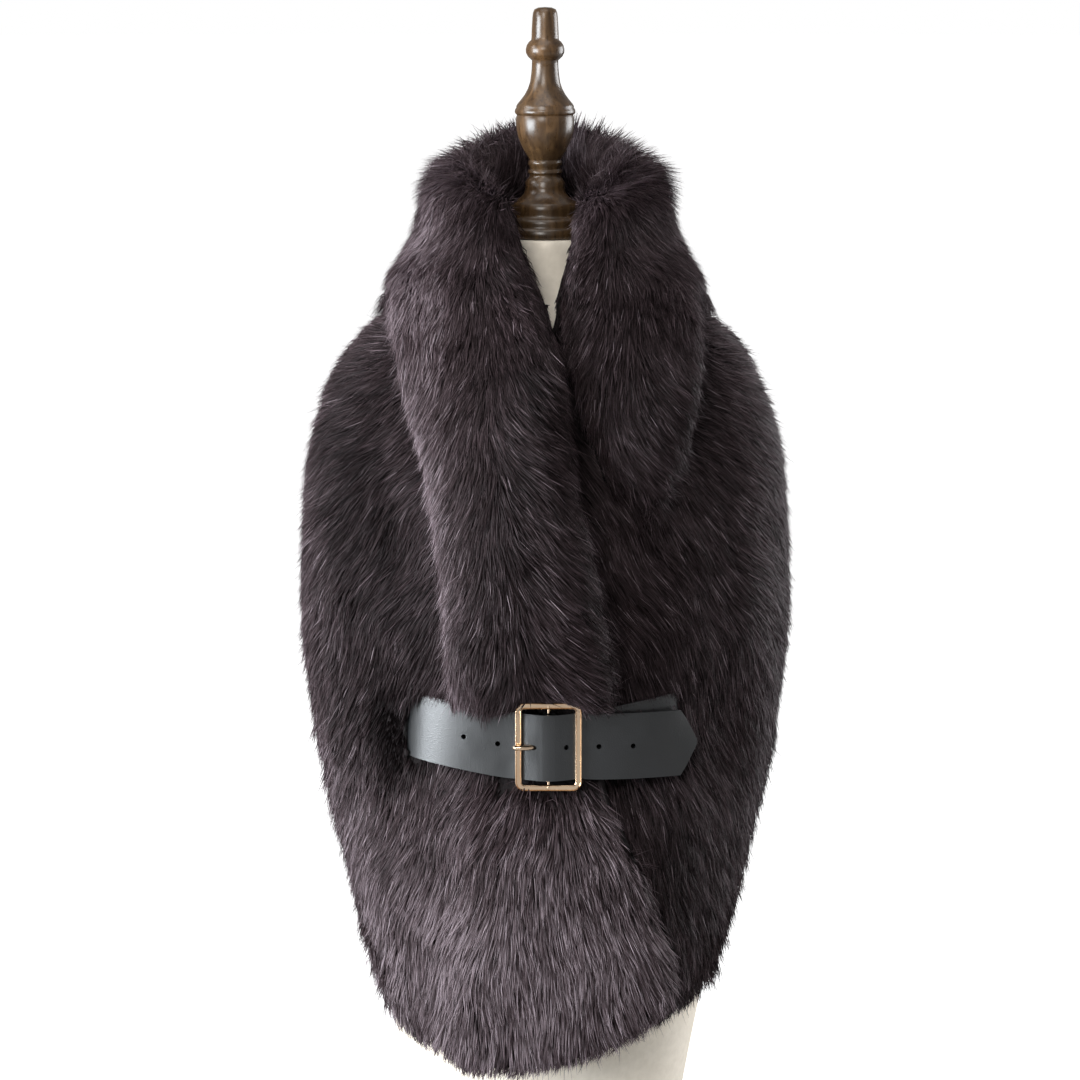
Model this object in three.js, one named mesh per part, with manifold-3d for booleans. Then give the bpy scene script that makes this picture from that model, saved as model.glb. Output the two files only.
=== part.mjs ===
// A belted wrap of long-pile fur with a rolled collar, worn on a limbless dress form.
// Millimetres, +Z up. The front faces -Y and +X is the wearer's left. The origin is the middle of the
// form's flat underside. Heights are above that underside, and a turn is an angle about the upright
// axis, 0 at the front and positive towards +X.
import * as THREE from "three";
import { mergeVertices } from "three/addons/utils/BufferGeometryUtils.js";
import Module from "manifold-3d";

const wasm = await Module();
wasm.setup();

const seamGap = 0.3;
const furSeamGap = 1.1; // along the outer face, which leaves about 0.3 at the inner one
const restGap = 0.5;
const furReach = 26; // backing and the pile on both of its sides
const beltWidth = 60;
const beltThickness = 3;
const beltFrontHeight = 374;
const neckTop = 820;

// The form's sections: half of its width, and its depth to the front and to the back.
const formSections = [
  { height: 0, side: 126, front: 92, back: 96 },
  { height: 33, side: 131, front: 96, back: 100 },
  { height: 107, side: 145, front: 104, back: 110 },
  { height: 180, side: 157, front: 106, back: 116 },
  { height: 250, side: 150, front: 98, back: 110 },
  { height: 320, side: 126, front: 85, back: 92 },
  { height: 385, side: 115, front: 78, back: 80 },
  { height: 450, side: 124, front: 88, back: 86 },
  { height: 550, side: 146, front: 108, back: 96 },
  { height: 620, side: 150, front: 104, back: 104 },
  { height: 680, side: 151, front: 92, back: 102 },
  { height: 712, side: 147, front: 86, back: 98 },
  { height: 736, side: 122, front: 74, back: 82 },
  { height: 753, side: 90, front: 63, back: 66 },
  { height: 768, side: 57, front: 50, back: 52 },
  { height: 790, side: 49, front: 46, back: 47 },
  { height: neckTop - seamGap, side: 45, front: 44, back: 44 },
];

// The outermost surface of one layer of the wrap as it hangs, from the hem to the top of the collar.
const drapeSections = [
  { height: 80, side: 178, front: 135, back: 112 },
  { height: 120, side: 180, front: 139, back: 118 },
  { height: 187, side: 184, front: 140, back: 124 },
  { height: 243, side: 190, front: 134, back: 127 },
  { height: 299, side: 201, front: 122, back: 127 },
  { height: 327, side: 206, front: 112, back: 127 },
  { height: 342, side: 209, front: 103, back: 127 },
  { height: 354, side: 211, front: 101, back: 127 },
  { height: 408, side: 221, front: 101.5, back: 129 },
  { height: 421, side: 223, front: 107, back: 130 },
  { height: 438, side: 224, front: 118, back: 130 },
  { height: 466, side: 226, front: 128, back: 131 },
  { height: 520, side: 225, front: 139, back: 134 },
  { height: 578, side: 222, front: 142, back: 138 },
  { height: 634, side: 215, front: 138, back: 140 },
  { height: 662, side: 208, front: 133, back: 138 },
  { height: 690, side: 196, front: 127, back: 134 },
  { height: 718, side: 181, front: 120, back: 126 },
  { height: 746, side: 157, front: 112, back: 114 },
  { height: 762, side: 131, front: 106, back: 106 },
  { height: 774, side: 113, front: 101, back: 100 },
  { height: 800, side: 95, front: 91, back: 89 },
  { height: 845, side: 80, front: 76, back: 81 },
  { height: 895, side: 68, front: 64, back: 79 },
  { height: 935, side: 60, front: 57, back: 78 },
];
const drapeSquareness = 0.87; // the power that flattens the front and the sides of the hanging part
const roundAbove = 720;
const roundOver = 80;

// How far the belt squeezes the fur flat, 1 at the middle of the belt.
const squeezeRows = [
  { height: 290, share: 0 },
  { height: 330, share: 0.45 },
  { height: 348, share: 1 },
  { height: 400, share: 1 },
  { height: 418, share: 0.45 },
  { height: 455, share: 0 },
];
const beltSqueeze = 13;
const collarSqueeze = 4;
const squeezeTurn = 62;

// The edge of the wearer's right front, which lies on top, and of the left front beneath it.
const overEdge = [
  { height: 135, turn: 34.5 },
  { height: 176, turn: 33.5 },
  { height: 207, turn: 29 },
  { height: 245, turn: 24 },
  { height: 291, turn: 18.5 },
  { height: 322, turn: 12.5 },
  { height: 375, turn: 11.5 },
  { height: 435, turn: 11.9 },
  { height: 515, turn: 9 },
  { height: 601, turn: 5.3 },
  { height: 684, turn: 3.8 },
  { height: 722, turn: 3.2 },
  { height: 750, turn: 1.6 },
  { height: 770, turn: -0.8 },
  { height: 792, turn: -4.8 },
  { height: 827, turn: -16.8 },
  { height: 860, turn: -25 },
];
const underEdge = [
  { height: 135, turn: -18 },
  { height: 245, turn: -13 },
  { height: 375, turn: -10 },
  { height: 515, turn: -9 },
  { height: 684, turn: -3.5 },
  { height: 750, turn: 0.5 },
  { height: 792, turn: 7.5 },
  { height: 827, turn: 17.5 },
  { height: 860, turn: 24 },
];
const sideSeamTurn = 100;
const sideSeamFoot = 410;
const collarFoot = 415;
// The free side edge of each front, below the foot of the side seam.
const sideEdge = [
  { height: 110, turn: 48 },
  { height: 140, turn: 53 },
  { height: 170, turn: 60 },
  { height: 200, turn: 68 },
  { height: 240, turn: 77 },
  { height: 290, turn: 84 },
  { height: 350, turn: 91 },
  { height: sideSeamFoot, turn: sideSeamTurn },
];
// The rounded hem of each front, by the share of its width from the overlapping edge to the side edge.
const overHemRows = [
  { share: 0, height: 158 },
  { share: 0.06, height: 131 },
  { share: 0.2, height: 108 },
  { share: 0.36, height: 90 },
  { share: 0.5, height: 83 },
  { share: 0.66, height: 88 },
  { share: 0.84, height: 107 },
  { share: 0.93, height: 126 },
  { share: 1, height: 162 },
];
const underHemRows = [
  { share: 0, height: 162 },
  { share: 0.06, height: 138 },
  { share: 0.2, height: 119 },
  { share: 0.36, height: 111 },
  { share: 0.5, height: 113 },
  { share: 0.66, height: 123 },
  { share: 0.84, height: 140 },
  { share: 0.93, height: 157 },
  { share: 1, height: 186 },
];
// The hem of the back, by its turn, from the side seam to the centre back.
const backHemRows = [
  { turn: sideSeamTurn, height: sideSeamFoot },
  { turn: 112, height: 462 },
  { turn: 130, height: 502 },
  { turn: 155, height: 528 },
  { turn: 180, height: 535 },
];
// The line along which the collar rolls over, by its turn, round the neck.
const crestRows = [
  { turn: 14, height: 856 },
  { turn: 25, height: 864 },
  { turn: 45, height: 873 },
  { turn: 90, height: 888 },
  { turn: 130, height: 906 },
  { turn: 180, height: 918 },
];

// Each collar from the centre back to its lower end: where it rolls over, where its free edge falls,
// and how thick the fallen layer is. Turns count towards the collar's own side.
const rightCollarRows = [
  { station: 0, crestTurn: 180, crestHeight: 918, fallTurn: 180, fallHeight: 742, loft: 30 },
  { station: 1, crestTurn: 145, crestHeight: 910, fallTurn: 147, fallHeight: 744, loft: 31 },
  { station: 2, crestTurn: 112, crestHeight: 896, fallTurn: 116, fallHeight: 750, loft: 33 },
  { station: 3, crestTurn: 84, crestHeight: 886, fallTurn: 90, fallHeight: 757, loft: 34 },
  { station: 4, crestTurn: 58, crestHeight: 877, fallTurn: 70, fallHeight: 757, loft: 36 },
  { station: 5, crestTurn: 38, crestHeight: 868, fallTurn: 55, fallHeight: 746, loft: 38 },
  { station: 6, crestTurn: 24.5, crestHeight: 858, fallTurn: 43, fallHeight: 728, loft: 40 },
  { station: 7, crestTurn: 12.5, crestHeight: 812, fallTurn: 35, fallHeight: 700, loft: 42 },
  { station: 8, crestTurn: -0.6, crestHeight: 764, fallTurn: 29.5, fallHeight: 666, loft: 43 },
  { station: 9, crestTurn: -3, crestHeight: 706, fallTurn: 25.5, fallHeight: 632, loft: 43 },
  { station: 10, crestTurn: -3.9, crestHeight: 636, fallTurn: 22.6, fallHeight: 590, loft: 42 },
  { station: 11, crestTurn: -6.6, crestHeight: 570, fallTurn: 20.6, fallHeight: 544, loft: 41 },
  { station: 12, crestTurn: -9.3, crestHeight: 508, fallTurn: 19.6, fallHeight: 494, loft: 38 },
  { station: 13, crestTurn: -11.7, crestHeight: 452, fallTurn: 19, fallHeight: 448, loft: 32 },
  { station: 14, crestTurn: -11.7, crestHeight: 424, fallTurn: 18.6, fallHeight: 422, loft: 20 },
];
const leftCollarRows = [
  { station: 0, crestTurn: 180, crestHeight: 918, fallTurn: 180, fallHeight: 742, loft: 30 },
  { station: 1, crestTurn: 145, crestHeight: 910, fallTurn: 147, fallHeight: 744, loft: 31 },
  { station: 2, crestTurn: 112, crestHeight: 896, fallTurn: 116, fallHeight: 750, loft: 33 },
  { station: 3, crestTurn: 84, crestHeight: 886, fallTurn: 90, fallHeight: 757, loft: 34 },
  { station: 4, crestTurn: 58, crestHeight: 877, fallTurn: 70, fallHeight: 757, loft: 36 },
  { station: 5, crestTurn: 36, crestHeight: 868, fallTurn: 56, fallHeight: 748, loft: 38 },
  { station: 6, crestTurn: 23.5, crestHeight: 858, fallTurn: 46, fallHeight: 732, loft: 40 },
  { station: 7, crestTurn: 14.5, crestHeight: 818, fallTurn: 39, fallHeight: 704, loft: 41 },
  { station: 8, crestTurn: 5, crestHeight: 768, fallTurn: 33.5, fallHeight: 672, loft: 41 },
  { station: 9, crestTurn: 5, crestHeight: 712, fallTurn: 29.5, fallHeight: 642, loft: 37 },
  { station: 10, crestTurn: 7.5, crestHeight: 660, fallTurn: 26, fallHeight: 612, loft: 29 },
  { station: 11, crestTurn: 11, crestHeight: 612, fallTurn: 21, fallHeight: 586, loft: 18 },
];

// The large soft folds: each runs from its middle along its own slope and fades out at both ends.
const foldRows = [
  { turn: -52, height: 392, slope: 0.06, width: 9, length: 120, depth: 13 },
  { turn: -72, height: 470, slope: 0.05, width: 9, length: 130, depth: 6 },
  { turn: -40, height: 560, slope: -0.03, width: 8, length: 110, depth: 5 },
  { turn: 50, height: 388, slope: -0.06, width: 9, length: 120, depth: 12 },
  { turn: 70, height: 480, slope: -0.05, width: 9, length: 130, depth: 6 },
  { turn: 44, height: 590, slope: 0.04, width: 8, length: 100, depth: 5 },
  { turn: -24, height: 250, slope: 0.02, width: 8, length: 90, depth: 4 },
  { turn: 48, height: 240, slope: -0.02, width: 8, length: 90, depth: 5 },
  { turn: -138, height: 620, slope: 0.03, width: 11, length: 100, depth: 5 },
  { turn: 146, height: 610, slope: -0.03, width: 11, length: 100, depth: 5 },
];

// The belt's inner face in plan: from its buckle end behind the frame, in at the slit on the wearer's
// left, round the form, out at the slit on the right and across the front to the pointed tip.
const beltRoute = [
  { x: -2, y: -117, height: 374 },
  { x: 16, y: -117, height: 374 },
  { x: 34, y: -116.6, height: 375 },
  { x: 60, y: -112.6, height: 378 },
  { x: 84, y: -106, height: 382 },
  { x: 104, y: -97.5, height: 385 },
  { x: 118, y: -86, height: 387 },
  { x: 126, y: -68, height: 389 },
  { x: 126, y: -44, height: 390 },
  { x: 122, y: -16, height: 390 },
  { x: 118, y: 16, height: 390 },
  { x: 105, y: 46, height: 390 },
  { x: 80, y: 69.5, height: 390 },
  { x: 45, y: 82.5, height: 390 },
  { x: 0, y: 87, height: 390 },
  { x: -45, y: 82.5, height: 390 },
  { x: -80, y: 69.5, height: 390 },
  { x: -105, y: 46, height: 390 },
  { x: -118, y: 16, height: 390 },
  { x: -122, y: -16, height: 390 },
  { x: -126, y: -44, height: 390 },
  { x: -126, y: -68, height: 389 },
  { x: -118, y: -86, height: 387 },
  { x: -104, y: -97.5, height: 385 },
  { x: -84, y: -107, height: 382 },
  { x: -58, y: -115, height: 378 },
  { x: -35, y: -119.8, height: 375 },
  { x: -23, y: -120.5, height: 374 },
  { x: -11, y: -126.6, height: 374 },
  { x: 3, y: -131.5, height: 374 },
  { x: 17, y: -126.6, height: 374 },
  { x: 29, y: -120.6, height: 374 },
  { x: 44, y: -120.4, height: 373.5 },
  { x: 70, y: -116.6, height: 373 },
  { x: 98, y: -107, height: 372.5 },
  { x: 121, y: -96.4, height: 372 },
  { x: 136, y: -90, height: 372 },
];
const beltStepsPerRow = 3;
const tipLength = 15;
const tipBlunt = 2.5;
const beltClearance = 0.5;
const wearerLeftStretch = { from: 0, to: 0.27 }; // of the belt's route, where it meets the left front
const wearerRightStretch = { from: 0.51, to: 1 };
const holeRadius = 2.4;
const holeSpacing = 30;
const holeCount = 6;
const frontEndShare = 0.55;
const prongHole = { x: -12, hole: 2 };

const frameCentre = { x: 3, y: -126.6, height: beltFrontHeight };
const frameWidth = 60;
const frameHeight = 81;
const frameBar = 6.2;
const frameDepth = 4;
const frameCorner = 8;
const frameInnerCorner = 3;
const centreBarRadius = 2.4;
const prongRadius = 1.9;
const prongReach = 35;
const prongClearance = 0.45;
const prongArch = 2;
const prongRingWall = 1.5;
const prongRingHeight = 5;

// The turned finial: radius and height above the neck's top, from its foot to its tip.
const finialProfile = [
  { radius: 39, rise: 0 },
  { radius: 40.5, rise: 3 },
  { radius: 40.5, rise: 8 },
  { radius: 38, rise: 11 },
  { radius: 36, rise: 13 },
  { radius: 36, rise: 17 },
  { radius: 33, rise: 20 },
  { radius: 30, rise: 22 },
  { radius: 30.5, rise: 31 },
  { radius: 27, rise: 34 },
  { radius: 21, rise: 38 },
  { radius: 16.5, rise: 43 },
  { radius: 14, rise: 50 },
  { radius: 13.2, rise: 56 },
  { radius: 15.5, rise: 59 },
  { radius: 13.6, rise: 62 },
  { radius: 13.6, rise: 68 },
  { radius: 18.5, rise: 74 },
  { radius: 23.5, rise: 84 },
  { radius: 26.3, rise: 94 },
  { radius: 26.6, rise: 104 },
  { radius: 25.2, rise: 110 },
  { radius: 27.4, rise: 113 },
  { radius: 27, rise: 117 },
  { radius: 20, rise: 124 },
  { radius: 15.2, rise: 133 },
  { radius: 12.2, rise: 145 },
  { radius: 11.8, rise: 158 },
  { radius: 14.6, rise: 161 },
  { radius: 17.4, rise: 167 },
  { radius: 16.6, rise: 173 },
  { radius: 12.4, rise: 178 },
  { radius: 12.2, rise: 184 },
  { radius: 11.2, rise: 200 },
  { radius: 9, rise: 205 },
];
const finialSides = 20;

const toRadians = Math.PI / 180;

// Reads a column of a table at a value of its key column, with smooth joins that never overshoot.
function readTable(rows, key, column, value) {
  const last = rows.length - 1;
  if (value <= rows[0][key]) return rows[0][column];
  if (value >= rows[last][key]) return rows[last][column];
  const slope = (i) => (rows[i + 1][column] - rows[i][column]) / (rows[i + 1][key] - rows[i][key]);
  const tangent = (i) => {
    if (i === 0) return slope(0);
    if (i === last) return slope(last - 1);
    const before = slope(i - 1);
    const after = slope(i);
    return before * after <= 0 ? 0 : (2 * before * after) / (before + after);
  };
  let row = 0;
  while (value > rows[row + 1][key]) row += 1;
  const span = rows[row + 1][key] - rows[row][key];
  const t = (value - rows[row][key]) / span;
  const t2 = t * t;
  const t3 = t2 * t;
  return (
    (2 * t3 - 3 * t2 + 1) * rows[row][column] +
    (t3 - 2 * t2 + t) * span * tangent(row) +
    (3 * t2 - 2 * t3) * rows[row + 1][column] +
    (t3 - t2) * span * tangent(row + 1)
  );
}

const mix = THREE.MathUtils.lerp;
const clamp = THREE.MathUtils.clamp;
const smoothStep = THREE.MathUtils.smoothstep;

// A point of a closed ring: its turn is in degrees, and the power squares the ring off.
function ringPoint(rows, turn, height, power) {
  const across = Math.sin(turn * toRadians);
  const ahead = Math.cos(turn * toRadians);
  const side = readTable(rows, "height", "side", height);
  const depth = readTable(rows, "height", ahead > 0 ? "front" : "back", height);
  return new THREE.Vector3(
    side * Math.sign(across) * Math.abs(across) ** power,
    -depth * Math.sign(ahead) * Math.abs(ahead) ** power,
    height,
  );
}

function foldDepth(turn, height) {
  return foldRows.reduce((sum, fold) => {
    const along = (height - fold.height) / fold.length;
    const away = (turn - fold.turn - fold.slope * (height - fold.height)) / fold.width;
    return sum + fold.depth * Math.exp(-along * along - away * away);
  }, 0);
}

// How far the upper front is lifted over the lower one, at this turn and height.
function overlapLift(turn, height) {
  const edge = readTable(underEdge, "height", "turn", height);
  const layer = layerThickness(turn, height) + 2 * restGap;
  return layer * smoothStep(turn, edge - 15, edge - 1) * (1 - smoothStep(height, 730, 785));
}

function drapePower(height) {
  return drapeSquareness + (1 - drapeSquareness) * clamp((height - roundAbove) / roundOver, 0, 1);
}

function drapeBase(turn, height) {
  return ringPoint(drapeSections, turn, height, drapePower(height));
}

// The outward direction of the hanging surface, square to it.
function drapeNormal(turn, height) {
  const step = 1.5;
  const along = drapeBase(turn + step, height).sub(drapeBase(turn - step, height));
  const up = drapeBase(turn, Math.min(height + 3, 935)).sub(drapeBase(turn, height - 3));
  return along.cross(up).normalize();
}

// A point of the wrap: the hanging surface moved out by an offset, with its folds.
function wrapPoint(turn, height, offset) {
  const fold = foldDepth(turn, height);
  return drapeBase(turn, height).addScaledVector(drapeNormal(turn, height), offset - fold);
}

// The thickness of one layer, pressed flat under the belt and a little under the collar.
function layerThickness(turn, height) {
  const away = Math.abs(turn);
  const beltShare = readTable(squeezeRows, "height", "share", height);
  const beltPress = beltShare * (1 - smoothStep(away, squeezeTurn - 22, squeezeTurn));
  const collarShare = smoothStep(height, 440, 520) * (1 - smoothStep(height, 690, 760));
  const collarPress = collarShare * (1 - smoothStep(away, 30, 55));
  return furReach - beltSqueeze * beltPress - collarSqueeze * collarPress;
}

// Distances along a sheet with extra lines near both edges, where its thickness rounds off.
function edgeSpacing(count, length, rounding) {
  const near = [0, 0.134, 0.5, 1].map((share) => (share * rounding) / length);
  const inside = Array.from({ length: count - 1 }, (_, i) => mix(near[3], 1 - near[3], (i + 1) / count));
  return [...near, ...inside, ...near.map((share) => 1 - share).reverse()];
}

// The share of its full thickness that a wall has at a distance from its rounded edge.
function roundedShare(distance, rounding) {
  const inside = clamp(distance / rounding, 0, 1);
  return Math.sqrt(Math.max(0, 1 - (1 - inside) ** 2));
}

// A closed wall from a grid of { outer, inner } points. Where the two coincide the faces share a vertex.
function wallGeometry(grid) {
  const rows = grid.length;
  const columns = grid[0].length;
  const positions = [];
  const triangles = [];
  for (const face of ["outer", "inner"])
    for (const row of grid) for (const cell of row) positions.push(...cell[face].toArray());
  const at = (face, i, j) => face * rows * columns + i * columns + j;
  const quad = (a, b, c, d) => triangles.push(a, b, c, a, c, d);
  for (let i = 0; i + 1 < rows; i += 1) {
    for (let j = 0; j + 1 < columns; j += 1) {
      quad(at(0, i, j), at(0, i + 1, j), at(0, i + 1, j + 1), at(0, i, j + 1));
      quad(at(1, i, j), at(1, i, j + 1), at(1, i + 1, j + 1), at(1, i + 1, j));
    }
    quad(at(0, i, 0), at(1, i, 0), at(1, i + 1, 0), at(0, i + 1, 0));
    const end = columns - 1;
    quad(at(0, i, end), at(0, i + 1, end), at(1, i + 1, end), at(1, i, end));
  }
  for (let j = 0; j + 1 < columns; j += 1) {
    quad(at(0, 0, j), at(0, 0, j + 1), at(1, 0, j + 1), at(1, 0, j));
    quad(at(0, rows - 1, j), at(1, rows - 1, j), at(1, rows - 1, j + 1), at(0, rows - 1, j + 1));
  }
  return closedGeometry(positions, triangles);
}

// Joins vertices that coincide, drops the faces that this leaves without area, and turns faces outwards.
function closedGeometry(positions, triangles) {
  const raw = new THREE.BufferGeometry();
  raw.setAttribute("position", new THREE.Float32BufferAttribute(positions, 3));
  raw.setIndex(triangles);
  const merged = mergeVertices(raw, 1e-3);
  const index = merged.index.array;
  const kept = [];
  for (let i = 0; i < index.length; i += 3) {
    const [a, b, c] = [index[i], index[i + 1], index[i + 2]];
    if (a !== b && b !== c && c !== a) kept.push(a, b, c);
  }
  merged.setIndex(kept);
  if (signedVolume(merged) < 0) merged.setIndex(kept.map((_, i) => kept[i - (i % 3) + 2 - (i % 3)]));
  return merged;
}

function signedVolume(geometry) {
  const p = geometry.attributes.position;
  const corner = [new THREE.Vector3(), new THREE.Vector3(), new THREE.Vector3()];
  let sum = 0;
  for (let i = 0; i < geometry.index.count; i += 3) {
    corner.forEach((v, k) => v.fromBufferAttribute(p, geometry.index.getX(i + k)));
    sum += corner[0].dot(corner[1].clone().cross(corner[2]));
  }
  return sum / 6;
}

// A closed loft through rings of points, with a flat fan over its first and last ring.
function loftGeometry(rings) {
  const sides = rings[0].length;
  const positions = rings.flat().flatMap((point) => point.toArray());
  const triangles = [];
  for (let i = 0; i + 1 < rings.length; i += 1)
    for (let j = 0; j < sides; j += 1) {
      const a = i * sides + j;
      const b = i * sides + ((j + 1) % sides);
      triangles.push(a, b, b + sides, a, b + sides, a + sides);
    }
  for (const [start, turned] of [[0, true], [(rings.length - 1) * sides, false]])
    for (let j = 1; j + 1 < sides; j += 1) {
      const fan = [start, start + j, start + j + 1];
      triangles.push(...(turned ? fan.reverse() : fan));
    }
  return closedGeometry(positions, triangles);
}

function toSolid(geometry) {
  const bare = new THREE.BufferGeometry();
  bare.setAttribute("position", geometry.attributes.position.clone());
  if (geometry.index) bare.setIndex(geometry.index.clone());
  const merged = mergeVertices(bare, 1e-3);
  const vertProperties = new Float32Array(merged.attributes.position.array);
  const triVerts = new Uint32Array(merged.index.array);
  return new wasm.Manifold(new wasm.Mesh({ numProp: 3, vertProperties, triVerts }));
}

function fromSolid(solid) {
  const mesh = solid.getMesh();
  const geometry = new THREE.BufferGeometry();
  geometry.setAttribute("position", new THREE.Float32BufferAttribute(mesh.vertProperties, 3));
  geometry.setIndex(Array.from(mesh.triVerts));
  return geometry;
}

// A wall's outer and inner offsets: free edges round off to the middle of the layer, and the edge that
// meets the collar rounds off towards it, so that the two together make one roll.
function layerOffsets(full, lift, freeShare, rollShare, grow) {
  const outer = lift - (full / 2) * (1 - freeShare);
  const inner = lift - (full / 2) * (1 + freeShare);
  return { outer: outer + grow, inner: mix(outer, inner, rollShare) - grow };
}

// One front of the wrap. The share across runs from its overlapping edge to its side edge.
function frontGeometry(hand, edgeRows, lifted, grow = 0) {
  const across = 12;
  const down = 23;
  const width = 330;
  const length = 740;
  const topTurns = [20, 40, 60, 80, sideSeamTurn];
  const topRows = topTurns.map((turn) => ({
    share: (turn - topTurns[0]) / (sideSeamTurn - topTurns[0]),
    height: readTable(crestRows, "turn", "height", turn),
  }));
  const topOf = (share) => readTable(topRows, "share", "height", share);
  const hemRows = lifted ? overHemRows : underHemRows;
  const hemOf = (share) => readTable(hemRows, "share", "height", share);
  const place = (u, v) => {
    const startHeight = mix(topOf(0), hemOf(0), v);
    const endHeight = mix(topOf(1), hemOf(1), v);
    const start = hand * readTable(edgeRows, "height", "turn", startHeight);
    const seam = sideSeamTurn - seamTurn(sideSeamTurn, endHeight);
    const end = Math.min(seam, readTable(sideEdge, "height", "turn", endHeight));
    return { turn: hand * mix(start, end, u), height: mix(topOf(u), hemOf(u), v) };
  };
  const rounding = furReach / 2;
  const grid = edgeSpacing(down, length, rounding).map((v) =>
    edgeSpacing(across, width, rounding).map((u) => {
      const { turn, height } = place(stretched(u, grow / width), stretched(v, grow / length));
      const full = layerThickness(turn, height);
      const seamed = smoothStep(height, sideSeamFoot, sideSeamFoot + 30);
      const underRoll = smoothStep(height, collarFoot, collarFoot + 30);
      const edgeShare = roundedShare(u * width, rounding);
      const sideShare = mix(roundedShare((1 - u) * width, rounding), 1, seamed);
      const hemShare = roundedShare((1 - v) * length, rounding);
      const freeShare = Math.min(mix(edgeShare, 1, underRoll), sideShare, hemShare);
      const edgeRoll = mix(1, roundedShare(u * width, furReach), underRoll);
      const rollShare = Math.min(roundedShare(v * length, furReach), edgeRoll);
      const lift = lifted ? overlapLift(turn, height) : 0;
      const { outer, inner } = layerOffsets(full, lift, freeShare, rollShare, grow);
      return { outer: wrapPoint(turn, height, outer), inner: wrapPoint(turn, height, inner) };
    }),
  );
  return wallGeometry(grid);
}

// A share from 0 to 1, carried past both of its ends by a margin.
function stretched(share, margin) {
  return share * (1 + 4 * margin) - 2 * margin;
}

// Half of the gap of an upright seam, as a turn.
function seamTurn(turn, height) {
  return furSeamGap / 2 / drapeBase(turn, height).distanceTo(drapeBase(turn - 1, height));
}

function backGeometry(grow = 0) {
  const across = 16;
  const down = 9;
  const width = 520;
  const length = 380;
  const rounding = furReach / 2;
  const grid = edgeSpacing(down, length, rounding).map((v) =>
    Array.from({ length: across + 1 }, (_, i) => {
      const spread = mix(-1, 1, stretched(i / across, grow / width));
      const away = 180 - Math.abs(spread) * (180 - sideSeamTurn);
      const top = readTable(crestRows, "turn", "height", away);
      const hem = readTable(backHemRows, "turn", "height", away);
      const height = mix(top, hem, stretched(v, grow / length));
      const turn = Math.sign(spread || 1) * (away + seamTurn(sideSeamTurn, height) * Math.abs(spread));
      const freeShare = roundedShare((1 - v) * length, rounding);
      const rollShare = roundedShare(v * length, furReach);
      const { outer, inner } = layerOffsets(furReach, 0, freeShare, rollShare, grow);
      return { outer: wrapPoint(turn, height, outer), inner: wrapPoint(turn, height, inner) };
    }),
  );
  return wallGeometry(grid);
}

// One collar: the layer that falls outwards from the roll, lying on the layer beneath it.
function collarGeometry(hand, rows, lifted) {
  const stepsPerStation = 2;
  const fallShares = [0, 0.012, 0.045, 0.1, 0.18, 0.32, 0.5, 0.68, 0.82, 0.91, 0.965, 0.99, 1];
  const lastStation = rows.length - 1;
  const rollRounding = 30;
  const fallRounding = 20;
  const endRounding = 26;
  const sunkBelow = 6; // cut back afterwards to the layer beneath
  const grid = Array.from({ length: lastStation * stepsPerStation + 1 }, (_, i) => {
    const station = i / stepsPerStation;
    const read = (column) => readTable(rows, "station", column, station);
    const backGap = i === 0 ? seamTurn(180, read("crestHeight")) : 0;
    const place = (share) => ({
      turn: hand * (mix(read("crestTurn"), read("fallTurn"), share) - backGap),
      height: mix(read("crestHeight"), read("fallHeight"), share),
    });
    const spotOf = (share) => {
      const spot = place(share);
      const lift = lifted ? overlapLift(spot.turn, spot.height) : 0;
      return { ...spot, base: lift + restGap };
    };
    const ends = [spotOf(0), spotOf(1)].map((spot) => wrapPoint(spot.turn, spot.height, spot.base));
    const span = ends[0].distanceTo(ends[1]);
    const endShare = roundedShare((lastStation - station) * 30, endRounding);
    return fallShares.map((share) => {
      const { turn, height, base } = spotOf(share);
      const rolled = roundedShare(share * span, rollRounding);
      const fallen = roundedShare((1 - share) * span, fallRounding);
      const full = Math.min(rolled, fallen) * endShare;
      const outer = wrapPoint(turn, height, base + read("loft") * full);
      return { outer, inner: wrapPoint(turn, height, base - sunkBelow * full) };
    });
  });
  return wallGeometry(grid);
}

// Points along the belt's inner face, with the outward direction at each.
function beltPath() {
  const points = beltRoute.map((row) => new THREE.Vector3(row.x, row.y, row.height));
  const curve = new THREE.CatmullRomCurve3(points, false, "centripetal");
  const steps = (beltRoute.length - 1) * beltStepsPerRow;
  const tip = points[points.length - 1];
  return Array.from({ length: steps + 1 }, (_, i) => {
    const share = i / steps;
    const point = curve.getPoint(share);
    const ahead = curve.getTangent(share).setZ(0).normalize();
    const left = share > 0.9 ? point.distanceTo(tip) : beltWidth;
    return { share, point, outward: new THREE.Vector3(ahead.y, -ahead.x, 0), left };
  });
}

// The four corners of the strap's section at a step of its path.
function strapRing(step, innerOffset, outerOffset, half) {
  const corner = (offset, rise) =>
    step.point.clone().addScaledVector(step.outward, offset).add(new THREE.Vector3(0, 0, rise));
  return [
    corner(innerOffset, -half),
    corner(innerOffset, half),
    corner(outerOffset, half),
    corner(outerOffset, -half),
  ];
}

function cylinderSolid(radius, length, place, sides) {
  const cylinder = new THREE.CylinderGeometry(radius, radius, length, sides);
  cylinder.deleteAttribute("normal");
  cylinder.deleteAttribute("uv");
  return toSolid(cylinder.applyMatrix4(place));
}

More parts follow.
